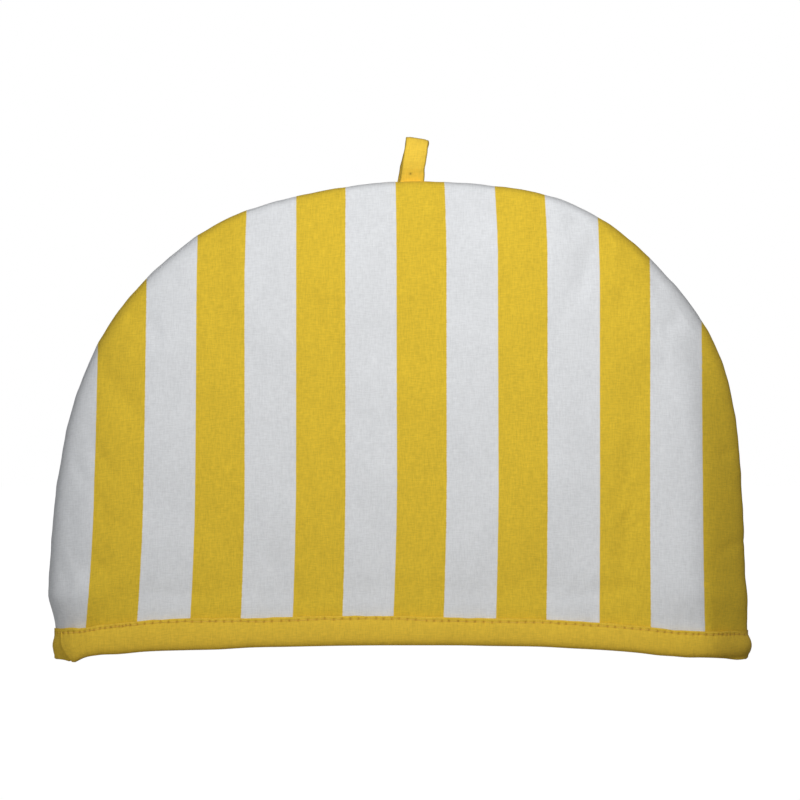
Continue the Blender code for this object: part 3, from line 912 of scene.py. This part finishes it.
# Lower and upper edge of the strip on the front
FRONT_STRIP = table(
    "x bottom top",
    (-0.173, 0.0012, 0.0157), (-0.169, 0.001, 0.016), (-0.1665, 0.001, 0.0162),
    (-0.164, 0.0008, 0.0164), (-0.162, 0.0003, 0.0166), (-0.16, 0, 0.0167), (-0.1584, 0, 0.0168),
    (-0.157, 0.0008, 0.0167), (-0.155, 0.0018, 0.0167), (-0.153, 0.0025, 0.017),
    (-0.147, 0.0036, 0.018), (-0.137, 0.0041, 0.0192), (-0.125, 0.0053, 0.0204),
    (-0.104, 0.0061, 0.0217), (-0.088, 0.0065, 0.0218), (-0.073, 0.0074, 0.0217),
    (-0.054, 0.0078, 0.0225), (-0.029, 0.0083, 0.0228), (-0.005, 0.0085, 0.0229),
    (0.005, 0.0085, 0.0227), (0.012, 0.0085, 0.0224), (0.028, 0.0085, 0.0221),
    (0.044, 0.0082, 0.0217), (0.052, 0.0081, 0.0216), (0.069, 0.0078, 0.0213),
    (0.084, 0.007, 0.0204), (0.099, 0.0062, 0.0194), (0.118, 0.0046, 0.0178),
    (0.126, 0.0036, 0.0169), (0.133, 0.0031, 0.016), (0.14, 0.0025, 0.0155),
    (0.147, 0.0024, 0.0152), (0.158, 0.0017, 0.015), (0.166, 0.0007, 0.0149),
    (0.169, 0.0009, 0.0148), (0.173, 0.0018, 0.0147),
)
BACK_HEIGHT = 0.0146
ROUND_TO_BACK = (-0.006, 0.010) # across the ends, the front's edges turn into the back's
HEM_LEVEL = 0.0145              # the hem's plan is taken here, above the tucked-in raw edges
ROUND_STEPS = 121               # the hem's plan is measured at so many places round each end
MIDDLE_STEPS = 240              # and so many between them, and then divided evenly
EVEN_STEPS = 1400
ROUNDING_PASSES = 24
ROUNDER_FROM = (0.155, 0.166)
END_ROUNDING = (0.155, 0.169)   # from here out the strip is pulled round the ends
END_TIGHT = 0.0013              # how much closer to the panel its top edge lies there
END_HEEL = 0.0016               # and its lower edge
END_MIDDLE = 0.45               # share of its height between the two
LEFT_TIGHT = 0.0009             # the left end is pulled closer still
LEFT_TIGHT_FULL = 0.3           # share of its height from which it is
LEAST_OUT = 0.0006              # but nowhere closer to it than this
INSIDE_DROP = 0.0008            # the inside leg ends this much lower
# Length of the stitches along the front, and how far below the top edge they run
STITCH_RUN = table(
    "x pitch drop",
    (-0.17, 0.0036, 0.0019), (-0.16, 0.0034, 0.002), (-0.153, 0.0027, 0.0017),
    (-0.139, 0.0026, 0.0015), (-0.136, 0.0017, 0.0014), (-0.132, 0.0017, 0.0014),
    (-0.127, 0.0037, 0.0014), (-0.08, 0.0039, 0.0015), (-0.055, 0.004, 0.002),
    (-0.03, 0.004, 0.0014), (-0.005, 0.0039, 0.0013), (0.01, 0.004, 0.0019),
    (0.03, 0.004, 0.0021), (0.07, 0.0041, 0.0018), (0.11, 0.0039, 0.0016),
    (0.145, 0.0034, 0.0017), (0.163, 0.0032, 0.0018), (0.17, 0.004, 0.0018),
)
FIRST_STITCH = 0.0025
LAST_STITCH = 0.0012            # from the strip's end
BACK_PITCH = 0.0039
STITCH_DROP = 0.0017
PITCH_WANDER = 0.09
STITCH_WANDER = 0.00012
HOLE_SPREAD = (-0.0010, -0.0006, -0.0003, 0.0, 0.0003, 0.0006, 0.0010)
END_ROWS = (0.0012, 0.0010)     # a row of points lies this near to each end
CLOSEST_ROWS = 0.00012
HOLE_DEPTH = 0.00032
HOLE_SIZE = (0.00068, 0.00062)  # along the strip and across it
STITCH_GROOVE = 0.00008
GROOVE_WIDTH = 0.0009
PUCKER = 0.00004                # the strip is drawn up a little below the stitches
PUCKER_WIDTH = 0.0025
# The folded strip's section, from the top of the front leg round the fold: on the outside or the
# inside of the cosy, out from the panel, and share of the strip's height
STRIP_SECTION = table(
    "side out share",
    (0, 0.00055, 0.99), (0, 0.0011, 1), (0, 0.00165, 0.986), (0, 0.00178, 0.955),
    (0, 0.00176, 0.92), (0, 0.00172, 0.885), (0, 0.00172, 0.86), (0, 0.0018, 0.82),
    (0, 0.00196, 0.76), (0, 0.00214, 0.68), (0, 0.00228, 0.59), (0, 0.00236, 0.49),
    (0, 0.00238, 0.39), (0, 0.0023, 0.29), (0, 0.00212, 0.2), (0, 0.00178, 0.125),
    (0, 0.00132, 0.065), (0, 0.00076, 0.02), (0, 0.0002, 0), (1, 0.0003, 0), (1, 0.0011, 0.016),
    (1, 0.00175, 0.08), (1, 0.00205, 0.2), (1, 0.00215, 0.4), (1, 0.00205, 0.6),
    (1, 0.00185, 0.78), (1, 0.00175, 0.88), (1, 0.00178, 0.95), (1, 0.00165, 0.986),
    (1, 0.0011, 1), (1, 0.00055, 0.99), (1, 0.0003, 0.94), (1, 0.0003, 0.5), (1, 0.0003, 0.14),
    (0, 0.0003, 0.14), (0, 0.0003, 0.5), (0, 0.0003, 0.94),
)
FRONT_POINTS = 19               # the outside leg down to the fold
SKIN_POINTS = 31                # and on to the top of the inside leg; the rest faces the panels
FACES_PANEL = 0.0004            # a point no further out than this faces the panels
THINNEST = 0.00035
STRIP_HEIGHT = 0.0148
STRIP_RIPPLES = table(
    "wavelength turn height",
    (0.0083, 0.7, 0.00007), (0.0124, 2.9, 0.0001), (0.0205, 1.4, 0.00012), (0.043, 4, 0.00012),
)
WOBBLE = 0.5                    # share of the ripples that shows
WOBBLE_UP = 1.2                 # how much of that moves its top edge
WOBBLE_OUT = 0.6                # and how much its face
BINDING_YELLOW = (0.855, 0.575, 0.052, 1.0)
# painted shade: the dark orange painted into the strip's needle holes, standing in for the shade
# inside them
HOLE_SHADE_ORANGE = (0.44, 0.195, 0.014, 1.0)
MARK_FALL = 1.5                 # how fast the painted shade fades outward


def hem_curve(side):
    """The hem in plan on the panel's outer face, from the left end to the right one."""
    rolls = np.radians(np.linspace(0, 90, ROUND_STEPS))
    left, right = (
        end - np.sign(end) * roll_length(end, 0.0) * (1 - np.cos(rolls))
        for end in (SEAM[0, 0], SEAM[-1, 0])
    )
    middle = np.linspace(left[-1], right[-1], MIDDLE_STEPS)[1:-1]
    x = np.concatenate([left, middle, right[::-1]])
    roll = np.concatenate([rolls, np.full(len(middle), math.pi / 2), rolls[::-1]])
    return outer_point(x, np.full_like(x, HEM_LEVEL), roll, side)[:, :2]


def rounded_ends(ring):
    """The hem's closed line with the two ends drawn a little rounder, as a folded strip lies."""
    closed = np.vstack([ring, ring[:1]])
    at = run_along(closed)
    even = np.linspace(0.0, at[-1], EVEN_STEPS + 1)[:-1]
    line = np.column_stack([np.interp(even, at, closed[:, axis]) for axis in (0, 1)])
    rounder = line
    for _ in range(ROUNDING_PASSES):
        rounder = (np.roll(rounder, 1, axis=0) + 2 * rounder + np.roll(rounder, -1, axis=0)) / 4
    return between(line, rounder, ease(np.abs(line[:, 0]), *ROUNDER_FROM)[:, None])


def hem_path():
    """The hem in plan as one closed path with its outward directions, and a lap more.

    It starts on the front at the start of the strip and runs left, round the back and home.
    """
    front = hem_curve(-1)[::-1]
    start = int(np.argmax(front[:, 0] < LAP_START_X))
    ring = rounded_ends(np.vstack([front[start:], hem_curve(1)[1:], front[1:start]]))
    path = np.vstack([ring, ring[: len(front) - start]])
    along = run_along(path)
    ahead = np.gradient(path, along, axis=0)
    outward = np.column_stack([ahead[:, 1], -ahead[:, 0]])
    if np.dot(outward[0], path[0]) < 0:
        outward = -outward
    outward /= np.linalg.norm(outward, axis=1)[:, None]
    return path, along, outward, along[len(ring)]


HEM_PATH, HEM_ALONG, HEM_OUTWARD, HEM_ROUND = hem_path()


def read_along(stop, values):
    """The x and y of what is known all along the hem, at these stops."""
    return [np.interp(stop, HEM_ALONG, values[:, axis]) for axis in (0, 1)]


def strip_edges(x, y):
    """Lower and upper edge of the strip; the front's and the back's meet softly at the ends."""
    place = np.clip(x, FRONT_STRIP.x[0], FRONT_STRIP.x[-1])
    front = (smooth_through(place, FRONT_STRIP.x, edge) for edge in FRONT_STRIP[1:])
    rise = hem_rise(x, 1)
    share = ease(y, *ROUND_TO_BACK)
    return [between(f, b, share) for f, b in zip(front, (rise, rise + BACK_HEIGHT))]


def stitch_places(end):
    """Where along the strip the needle went through, and how far below the top edge."""
    random = np.random.default_rng(11)
    places, drops = [FIRST_STITCH], []
    while places[-1] < end - LAST_STITCH:
        x, y = read_along(places[-1], HEM_PATH)
        pitch, drop = BACK_PITCH, STITCH_DROP
        if y < 0:
            pitch, drop = (np.interp(x, STITCH_RUN.x, column) for column in STITCH_RUN[1:])
        drops.append(drop + STITCH_WANDER * random.standard_normal())
        places.append(places[-1] + pitch * (1 + PITCH_WANDER * random.standard_normal()))
    return np.array(places[:-1]), np.array(drops)


LAPPED = HEM_ALONG >= HEM_ROUND
LAP_AT = float(np.interp(-LAP_END_X, -HEM_PATH[LAPPED, 0], HEM_ALONG[LAPPED]))
STITCH_AT, STITCH_OFF = stitch_places(LAP_AT)


def strip_point(stop, side, out, share):
    """A point of the strip: out from the panel's face, and share of the way up the strip."""
    low = np.clip(1 - share, 0.0, 1.0)
    full = LAP_CURVE.slant[-1]
    slant = full if side else smooth_through(low, *LAP_CURVE)
    stop = stop - slant * ease(stop, LAP_AT - LAP_SKEW * full, LAP_AT)
    (x, y), (out_x, out_y) = read_along(stop, HEM_PATH), read_along(stop, HEM_OUTWARD)
    over = (CLOTH + LAP_GAP) * ease(stop, *(HEM_ROUND - np.array(LAP_CLIMB)))
    if side:
        out = -WALL_IN_BINDING - out - over
    else:
        heel = np.clip(1 - share / END_MIDDLE, 0.0, 1.0) ** 2
        tight = END_TIGHT * ease(share, END_MIDDLE, 1.0) + END_HEEL * heel
        tight = tight + LEFT_TIGHT * ease(share, 0.0, LEFT_TIGHT_FULL) * (x < 0)
        pulled = out - tight * ease(np.abs(x), *END_ROUNDING)
        out = np.maximum(pulled, np.minimum(out, LEAST_OUT)) + over
    x, y = x + out_x * out, y + out_y * out
    bottom, top = strip_edges(x, y)
    top = top - INSIDE_DROP * side
    under = (CLOTH + LAP_GAP) * ease(x, *LAP_FOOT) * (stop < LAP_FOOT_RUN)
    height = np.maximum(between(bottom, top, share) + under * low, 0.0)
    return np.stack([x, y, height], axis=-1)


def strip_stations():
    """Where along the strip its section is drawn, closest together at the needle holes."""
    near_holes = (STITCH_AT[:, None] + HOLE_SPREAD).ravel()
    halfway = (STITCH_AT[:-1] + STITCH_AT[1:]) / 2
    ends = [0.0, END_ROWS[0], LAP_AT - END_ROWS[1], LAP_AT]
    stops = np.concatenate([near_holes, halfway, ends])
    stops = np.unique(np.round(np.clip(stops, 0.0, LAP_AT), 6))
    return stops[np.concatenate([[True], np.diff(stops) > CLOSEST_ROWS])]


def strip_skin(stops):
    """The strip's points, a row for each of its section's, and which lie in a needle hole."""
    heights = np.interp(stops, STITCH_AT, STITCH_OFF)
    nearest = np.argmin(np.abs(stops[:, None] - STITCH_AT), axis=1)
    off_hole = stops - STITCH_AT[nearest]
    gap = np.gradient(STITCH_AT)[nearest]
    wobble = WOBBLE * ripples(stops, STRIP_RIPPLES)
    rows, holes = [], []
    for side, out, share in zip(*STRIP_SECTION):
        at = share + wobble / STRIP_HEIGHT * WOBBLE_UP * np.clip((share - 0.5) * 2, 0.0, 1.0)
        hole = np.zeros_like(stops)
        if out > FACES_PANEL:
            above_stitch = (at - 1) * STRIP_HEIGHT + heights
            hole = np.exp(-(off_hole / HOLE_SIZE[0]) ** 2 - (above_stitch / HOLE_SIZE[1]) ** 2)
            groove = np.exp(-(above_stitch / GROOVE_WIDTH) ** 2)
            pucker = np.cos(2 * math.pi * off_hole / gap)
            pucker = pucker * np.exp(-((above_stitch + PUCKER_WIDTH) / PUCKER_WIDTH) ** 2)
            out = out - HOLE_DEPTH * hole - STITCH_GROOVE * groove - PUCKER * pucker
            out = np.maximum(out, THINNEST) + wobble * WOBBLE_OUT * (1 - abs(2 * share - 1))
        rows.append(strip_point(stops, side, out, at))
        holes.append(hole)
    return np.array(rows), np.array(holes)


def tube_faces(rows, columns):
    """The numbers of a tube's points, a row of them along it for each of its section's points,
    and the faces round it."""
    index = np.arange(rows * columns).reshape(rows, columns)
    below = np.roll(index, -1, axis=0)
    quads = np.stack([index[:, :-1], index[:, 1:], below[:, 1:], below[:, :-1]], axis=-1)
    return index, quads.reshape(-1, 4).tolist()


def strip_end_faces(ring):
    """Close an end of the folded strip: its outer skin is joined to its inner one."""
    outer, inner = ring[:SKIN_POINTS].tolist(), ring[SKIN_POINTS:][::-1].tolist()
    faces = []
    a, b = 0, 0
    while a < len(outer) - 1 or b < len(inner) - 1:
        behind = (a + 1) / len(outer) <= (b + 1) / len(inner)
        if b >= len(inner) - 1 or (a < len(outer) - 1 and behind):
            faces.append([outer[a], outer[a + 1], inner[b]])
            a += 1
        else:
            faces.append([outer[a], inner[b + 1], inner[b]])
            b += 1
    return faces


def fix_facing(mesh):
    """Turn every face outward."""
    bm = bmesh.new()
    bm.from_mesh(mesh)
    bmesh.ops.recalc_face_normals(bm, faces=bm.faces)
    bm.to_mesh(mesh)
    bm.free()


def folded_strip(name, points, faces, along, across):
    """The mesh of a strip of cloth, with its own map from two grids of lengths."""
    mesh = new_mesh(name, points, faces)
    fix_facing(mesh)
    flat = np.stack(np.broadcast_arrays(along, across), axis=-1)
    set_cloth_place(mesh, flat.reshape(-1, 2))
    return mesh


def painted_shade_group():
    """Painted shade: the colour drawn towards a darker shade colour in needle holes and along
    folded edges.
    """
    group, given, result = new_group(
        "painted_shade_marks",
        {"Colour": "Color", "Painted Shade Colour": "Color", "Painted Shade": "Float"},
        {"Colour": "Color"},
    )
    share = value_node(group, "POWER", given["Painted Shade"], MARK_FALL)
    mixed = colour_mix(group, share, given["Colour"], given["Painted Shade Colour"])
    group.links.new(mixed, result["Colour"])
    return group


PAINTED_SHADE = painted_shade_group()


def paint_shade_on_cloth(cloth, mesh, colour, amounts):
    """Paint shade into a cloth's colour at needle holes and folds; the amounts are one for each
    vertex of the mesh.
    """
    set_amounts(mesh, "painted_shade_mark", amounts)
    tree = cloth.node_tree
    base = tree.nodes["Principled BSDF"].inputs["Base Color"]
    shade_mark = tree.nodes.new("ShaderNodeAttribute")
    shade_mark.attribute_name = "painted_shade_mark"
    node = place_group(tree, PAINTED_SHADE, {
        "Colour": base.links[0].from_socket,
        "Painted Shade Colour": colour,
        "Painted Shade": shade_mark.outputs["Fac"],
    })
    tree.links.new(node.outputs["Colour"], base)


def hem_binding():
    stops = strip_stations()
    skin, holes = strip_skin(stops)
    index, faces = tube_faces(*holes.shape)
    faces += strip_end_faces(index[:, 0]) + strip_end_faces(index[:, -1][::-1])
    run = run_along(skin[:, len(stops) // 2])
    mesh = folded_strip("hem_strip", skin, faces, stops, run[:, None])
    cloth = cotton_cloth("yellow_cotton", BINDING_YELLOW, streak_depth=0.68)
    # painted shade in the needle holes, on top of their dimples
    paint_shade_on_cloth(cloth, mesh, HOLE_SHADE_ORANGE, holes)
    piece = shown_piece("hem_strip", mesh, cloth)
    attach(piece, "root")
    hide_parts("hem_binding")


hem_binding()


# ---- the stitches ----
# The lockstitch that holds the strip, in yellow thread: each stitch goes from one needle hole to
# the next along the outside of the hem, and a second row was sewn over a few of them.
THREAD_WIDTH = 0.00030
THREAD_RISE = 0.00006
THREAD_SIDES = 6
THREAD_RINGS = 7
STITCH_SINK = 0.00022
STITCH_PROUD = 0.45 * THREAD_RISE
SHORTEST_STITCH = 1e-5
THREAD_ENDS = 0.55              # share of its width that a stitch keeps at its ends
FACE_OUT = 0.001                # the strip's face stands out further than this, its edges less
# Needle holes of the second, short row, just over the strip
BACK_TACKS = table(
    "x z",
    (0.0464, 0.0218), (0.0496, 0.0213), (0.0536, 0.0212), (0.0571, 0.0209), (0.0607, 0.0203),
)
TACK_PROUD = 0.0004
THREAD_YELLOW = (0.88, 0.58, 0.085, 1.0)


def strip_surface(stops, drops, sink):
    """Points on the outside of the strip at the stitch line, sunk into it or raised over it."""
    share = 1 - drops / STRIP_HEIGHT
    out, height = STRIP_SECTION.out[:FRONT_POINTS], STRIP_SECTION.share[:FRONT_POINTS]
    face = out > FACE_OUT
    surface = np.interp(-share, -height[face], out[face]) - STITCH_GROOVE
    return strip_point(stops, 0, surface - sink, share)


def thread_arcs(starts, ends, middles):
    """Tubes of thread, each bent through three points: its two holes and the middle between."""
    t = np.linspace(0.0, 1.0, THREAD_RINGS)[:, None, None]
    width = THREAD_WIDTH / 2 * between(THREAD_ENDS, 1.0, np.sin(math.pi * t) ** 0.5)
    turn = 2 * math.pi * np.arange(THREAD_SIDES)[:, None] / THREAD_SIDES
    index = np.arange(THREAD_RINGS * THREAD_SIDES).reshape(THREAD_RINGS, THREAD_SIDES)
    after = np.roll(index, -1, axis=1)
    quads = np.stack([index[:-1], after[:-1], after[1:], index[1:]], axis=-1).reshape(-1, 4)
    tubes, faces = [], []
    for start, end, middle in zip(starts, ends, middles):
        run = end - start
        long = np.linalg.norm(run)
        if long < SHORTEST_STITCH:
            continue
        ahead = run / long
        bow = middle - (start + end) / 2
        rise = bow - ahead * (bow @ ahead)
        lift = rise / max(np.linalg.norm(rise), 1e-9)
        centre = start + run * t + rise * (1 - (2 * t - 1) ** 4)
        first = len(tubes) * index.size
        tubes.append(centre + width * (np.cos(turn) * np.cross(ahead, lift) + np.sin(turn) * lift))
        faces += (quads + first).tolist()
        faces += [(index[0, ::-1] + first).tolist(), (index[-1] + first).tolist()]
    return np.reshape(tubes, (-1, 3)), faces


def hem_stitches():
    holes = strip_surface(STITCH_AT, STITCH_OFF, STITCH_SINK)
    halfway, drops = ((ends[:-1] + ends[1:]) / 2 for ends in (STITCH_AT, STITCH_OFF))
    middles = strip_surface(halfway, drops, -STITCH_PROUD)
    height = np.clip(BACK_TACKS.z - hem_rise(BACK_TACKS.x, -1), BINDING_ROW, None)
    skin = outer_point(BACK_TACKS.x, height, math.pi / 2, -1)
    tacks = np.column_stack([BACK_TACKS.x, skin[:, 1] - TACK_PROUD, BACK_TACKS.z])
    tack_middles = (tacks[:-1] + tacks[1:]) / 2 - [0.0, THREAD_RISE, 0.0]
    points, faces = thread_arcs(
        np.vstack([holes[:-1], tacks[:-1]]),
        np.vstack([holes[1:], tacks[1:]]),
        np.vstack([middles, tack_middles]),
    )
    mesh = new_mesh("hem_stitches", points, faces)
    fix_facing(mesh)
    set_cloth_place(mesh, points[:, [0, 2]])
    thread = cotton_cloth("yellow_thread", THREAD_YELLOW, roughness=0.7, streak_depth=0.10)
    piece = shown_piece("hem_stitches", mesh, thread)
    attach(piece, "root")


hem_stitches()


# ---- the hanging loop ----
# A narrow strip of the same yellow cotton, folded lengthwise, bent over at the top and caught
# with both legs in the seam at the crown.
LOOP_CLOTH = 0.0012
LOOP_WIDTH = 0.012
LOOP_FOOT = 0.2367
LOOP_TOP = 0.2562
# Share of the loop's height, how far each leg stands out from the middle, the two edges of the
# front leg in x, and those of the back leg
LOOP_LEGS = table(
    "share out left right back_left back_right",
    (-0.16, 0.0009, -0.0005, 0.0117, -0.0016, 0.011),
    (0, 0.0017, -0.0001, 0.012, -0.0011, 0.0113), (0.12, 0.0025, 0.0002, 0.0122, -0.0007, 0.0115),
    (0.26, 0.0037, 0.0007, 0.0123, -0.0001, 0.0118),
    (0.42, 0.0043, 0.0012, 0.0127, 0.0006, 0.0123),
    (0.62, 0.0042, 0.0018, 0.0133, 0.0015, 0.0131),
    (0.78, 0.0036, 0.0023, 0.0138, 0.0022, 0.0137), (0.9, 0.0025, 0.0027, 0.0141, 0.0027, 0.0141),
    (0.965, 0.0014, 0.0029, 0.0142, 0.0029, 0.0142), (1, 0, 0.003, 0.0142, 0.003, 0.0142),
)
BEND_FROM = 0.9                 # share of the height above which the legs bend over to meet
BEND_OUT = 0.0025
LOOP_SLOPE = 0.16               # how far the loop's top slopes down to the right
# The edges are a little uneven: how far apart their waves are, and how high
EDGE_WAVES = ((0.0021, 0.00012), (0.0009, 0.00005))
EDGE_CREASE = 0.00022           # beside its folded edges the loop is pressed in
EDGE_CREASE_AT = (0.80, 0.07)
# painted light: the same cotton as the binding, painted lighter for the light that falls on the
# loop
LOOP_YELLOW_PAINTED_LIGHTER = (0.95, 0.64, 0.066, 1.0)
# painted shade: a dark olive painted along the folded edges, the top fold and an old needle hole
FOLD_SHADE_OLIVE = (0.115, 0.085, 0.012, 1.0)
FOLD_SHADE = 0.92               # how strongly the painted shade darkens the folded edges
FOLD_WIDTH = 0.11               # along both edges, as a share of half the width
TOP_FOLD_WIDTH = 0.0009
LOOP_MARK = (0.0052, 0.2391)    # painted shade of an old needle hole near the foot of the front leg
LOOP_MARK_SIZE = 0.0006
LOOP_ACROSS = 22
LOOP_ALONG = 60


def loop_leg(left, right, sign):
    """Close rows of one leg from foot to fold: out, height, left and right edge, and share."""
    share = LOOP_LEGS.share
    at = share[0] + (1.0 - share[0]) * np.sin(np.linspace(0, math.pi / 2, LOOP_ALONG))
    bend = BEND_OUT * np.sqrt(np.clip((1 - at) / (1 - BEND_FROM), 0.0, 1.0))
    out = np.where(at > BEND_FROM, bend, np.interp(at, share, LOOP_LEGS.out))
    edges = (smooth_through(at, share, edge) for edge in (left, right))
    return np.column_stack([sign * out, between(LOOP_FOOT, LOOP_TOP, at), *edges, at])


def hanging_loop():
    front = loop_leg(LOOP_LEGS.left, LOOP_LEGS.right, -1)
    back = loop_leg(LOOP_LEGS.back_left, LOOP_LEGS.back_right, 1)[::-1][1:]
    rows = np.vstack([front, back])
    out, height, left, right, share = rows.T
    ahead = np.gradient(rows[:, :2], axis=0)
    ahead_out, ahead_up = (ahead / np.linalg.norm(ahead, axis=1)[:, None]).T
    run = run_along(rows[:, :2])
    # outer skin left to right, then inner skin right to left, round at both edges
    across = np.linspace(-1, 1, LOOP_ACROSS + 1)
    bulge = 0.5 * np.sqrt(np.maximum(1 - np.abs(across) ** 6, 0.0))
    t = np.concatenate([across, across[-2:0:-1]])[:, None]
    level = np.concatenate([bulge, -bulge[-2:0:-1]])[:, None]
    turns = (1.3 * np.sign(t), 2.0 * t)
    wave = sum(
        depth * np.sin(run / apart + turn) for (apart, depth), turn in zip(EDGE_WAVES, turns)
    )
    half = (right - left) / 2
    x = (left + right) / 2 + t * half + wave * np.abs(t) ** 3
    crease = EDGE_CREASE * np.exp(-((np.abs(t) - EDGE_CREASE_AT[0]) / EDGE_CREASE_AT[1]) ** 2)
    thick = LOOP_CLOTH * level - np.where(level > 0, crease, 0.0)
    y = out - ahead_up * thick
    z = height + ahead_out * thick - LOOP_SLOPE * t * half * np.clip(share, 0.0, 1.0) ** 3
    index, faces = tube_faces(*x.shape)
    for end in (index[:, 0], index[:, -1]):
        for k in range(LOOP_ACROSS):
            corners = end[[k, k + 1, -k - 1, -k]].tolist()
            faces.append(list(dict.fromkeys(corners)))
    points = np.stack([x, y, z], axis=-1)
    mesh = folded_strip("loop_strip", points, faces, t * LOOP_WIDTH / 2, run)
    # painted shade along both folded edges, at the top fold and in the old needle hole
    painted_fold_shade = FOLD_SHADE * np.exp(-((1 - np.abs(t)) / FOLD_WIDTH) ** 2)
    painted_top_fold_shade = FOLD_SHADE * np.exp(-((run - run[-1] / 2) / TOP_FOLD_WIDTH) ** 2)
    off_mark = (x - LOOP_MARK[0]) ** 2 + (z - LOOP_MARK[1]) ** 2
    shade_mark = np.exp(-off_mark / LOOP_MARK_SIZE ** 2) * (y < 0)
    cloth = cotton_cloth("loop_cotton", LOOP_YELLOW_PAINTED_LIGHTER, streak_depth=0.60)
    paint_shade_on_cloth(cloth, mesh, FOLD_SHADE_OLIVE, np.maximum(np.maximum(painted_fold_shade, painted_top_fold_shade), shade_mark))
    piece = shown_piece("loop_strip", mesh, cloth)
    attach(piece, "root")
    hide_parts("hanging_loop")


hanging_loop()
